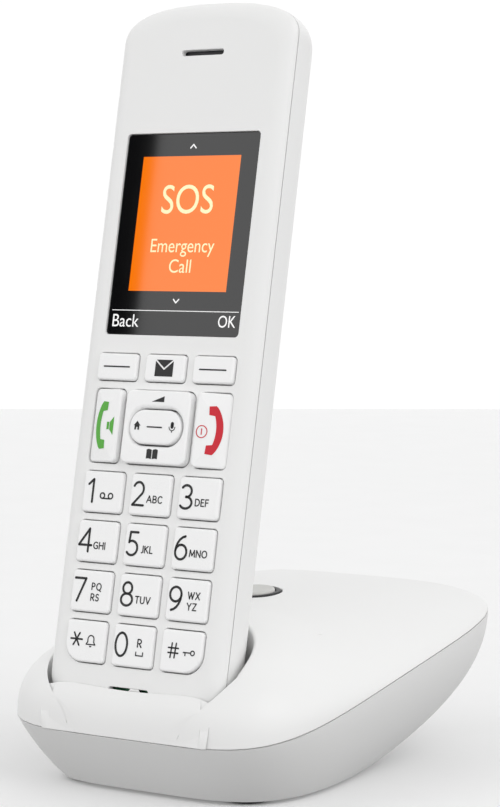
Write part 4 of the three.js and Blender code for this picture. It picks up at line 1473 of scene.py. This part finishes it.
SKY_STRENGTH = 1.7
SKY_STOPS = [(0.44, 0.2), (0.55, 1.0), (0.68, 0.95), (1.0, 0.12)]
world = bpy.data.worlds.new("studio_surround")
world.use_nodes = True
nodes, links = world.node_tree.nodes, world.node_tree.links
toward = nodes.new("ShaderNodeTexCoord")
height = nodes.new("ShaderNodeSeparateXYZ")
share = nodes.new("ShaderNodeMapRange")
share.inputs["From Min"].default_value = -1.0
fade = nodes.new("ShaderNodeValToRGB")
fade.color_ramp.elements[0].position = SKY_STOPS[0][0]
fade.color_ramp.elements[1].position = SKY_STOPS[-1][0]
for place, _ in SKY_STOPS[1:-1]:
    fade.color_ramp.elements.new(place)
for stop, (_, level) in zip(fade.color_ramp.elements, SKY_STOPS):
    stop.color = (level, level, level, 1)
links.new(toward.outputs["Generated"], height.inputs[0])
links.new(height.outputs["Z"], share.inputs["Value"])
links.new(share.outputs[0], fade.inputs[0])
links.new(fade.outputs[0], nodes["Background"].inputs["Color"])
nodes["Background"].inputs["Strength"].default_value = SKY_STRENGTH
bpy.context.scene.world = world
bpy.context.scene.view_settings.view_transform = "Standard"


def glowing(name, strength):
    finish = Finish(name, roughness=1.0, specular_ior_level=0.0)
    finish.set("Base Color", (0, 0, 0))
    weave = finish.noise(3, 2.0)
    finish.set("Emission Color", finish.mix(weave, (0.99, 0.99, 0.99), (1, 1, 1)))
    finish.set("Emission Strength", strength)
    return finish


ahead = Vector((-math.sin(CAMERA_AZIMUTH), math.cos(CAMERA_AZIMUTH), 0))
sideways = Vector((ahead.y, -ahead.x, 0))
BACKDROP_DISTANCE = 1.3
middle = ahead * BACKDROP_DISTANCE
corners = [
    middle + sideways * across * 4 + Vector((0, 0, z))
    for across, z in ((-1, -0.05), (1, -0.05), (1, 4), (-1, 4))
]
backdrop = mesh_piece("studio_backdrop", corners, [(0, 1, 2, 3)])
paint(backdrop, glowing("backdrop_white", 1.02))


def softbox(name, place, aim, size, power):
    lamp = bpy.data.lights.new(name, "AREA")
    lamp.shape = "RECTANGLE"
    lamp.size, lamp.size_y = size
    lamp.energy = power
    light = bpy.data.objects.new(name, lamp)
    light.location = place
    light.rotation_euler = (Vector(aim) - Vector(place)).to_track_quat("-Z", "Y").to_euler()
    bpy.context.scene.collection.objects.link(light)
    return light


softbox("softbox_key", (1.0, -0.3, 0.9), (0, 0, 0.08), (0.8, 0.8), 2.5)

# %% [markdown]
# ## The glare in the window
# The window shows a softbox in its right part and a dark room in the narrow strip at its left.
# Both are panels whose corners are found by mirroring the camera's rays in the window, so their
# common edge runs along the window. They are seen only in reflections.

# %% Reflected panels
PANEL_DISTANCE = 1.1
GLARE_EDGE = -10.3


def mirrored(x, b):
    """The place where a camera ray, mirrored in the window, meets the panels' distance."""
    place = Vector(on_handset(x, b, WINDOW_RECESS))
    ray = (place - camera.location).normalized()
    normal = Vector(-INWARD)
    return place + (ray - 2 * ray.dot(normal) * normal) * PANEL_DISTANCE


def reflected_panel(name, left, right, finish):
    corners = [mirrored(left, -60), mirrored(right, -60), mirrored(right, 60), mirrored(left, 60)]
    panel = mesh_piece(name, corners, [(0, 1, 2, 3)])
    paint(panel, finish)
    panel.visible_camera = False
    panel.visible_diffuse = False
    panel.visible_shadow = False


reflected_panel("dark_card", -45, GLARE_EDGE, glowing("card_black", 0.0))
reflected_panel("glare_softbox", GLARE_EDGE, 60, glowing("softbox_cloth", 2.1))
print("studio ready")
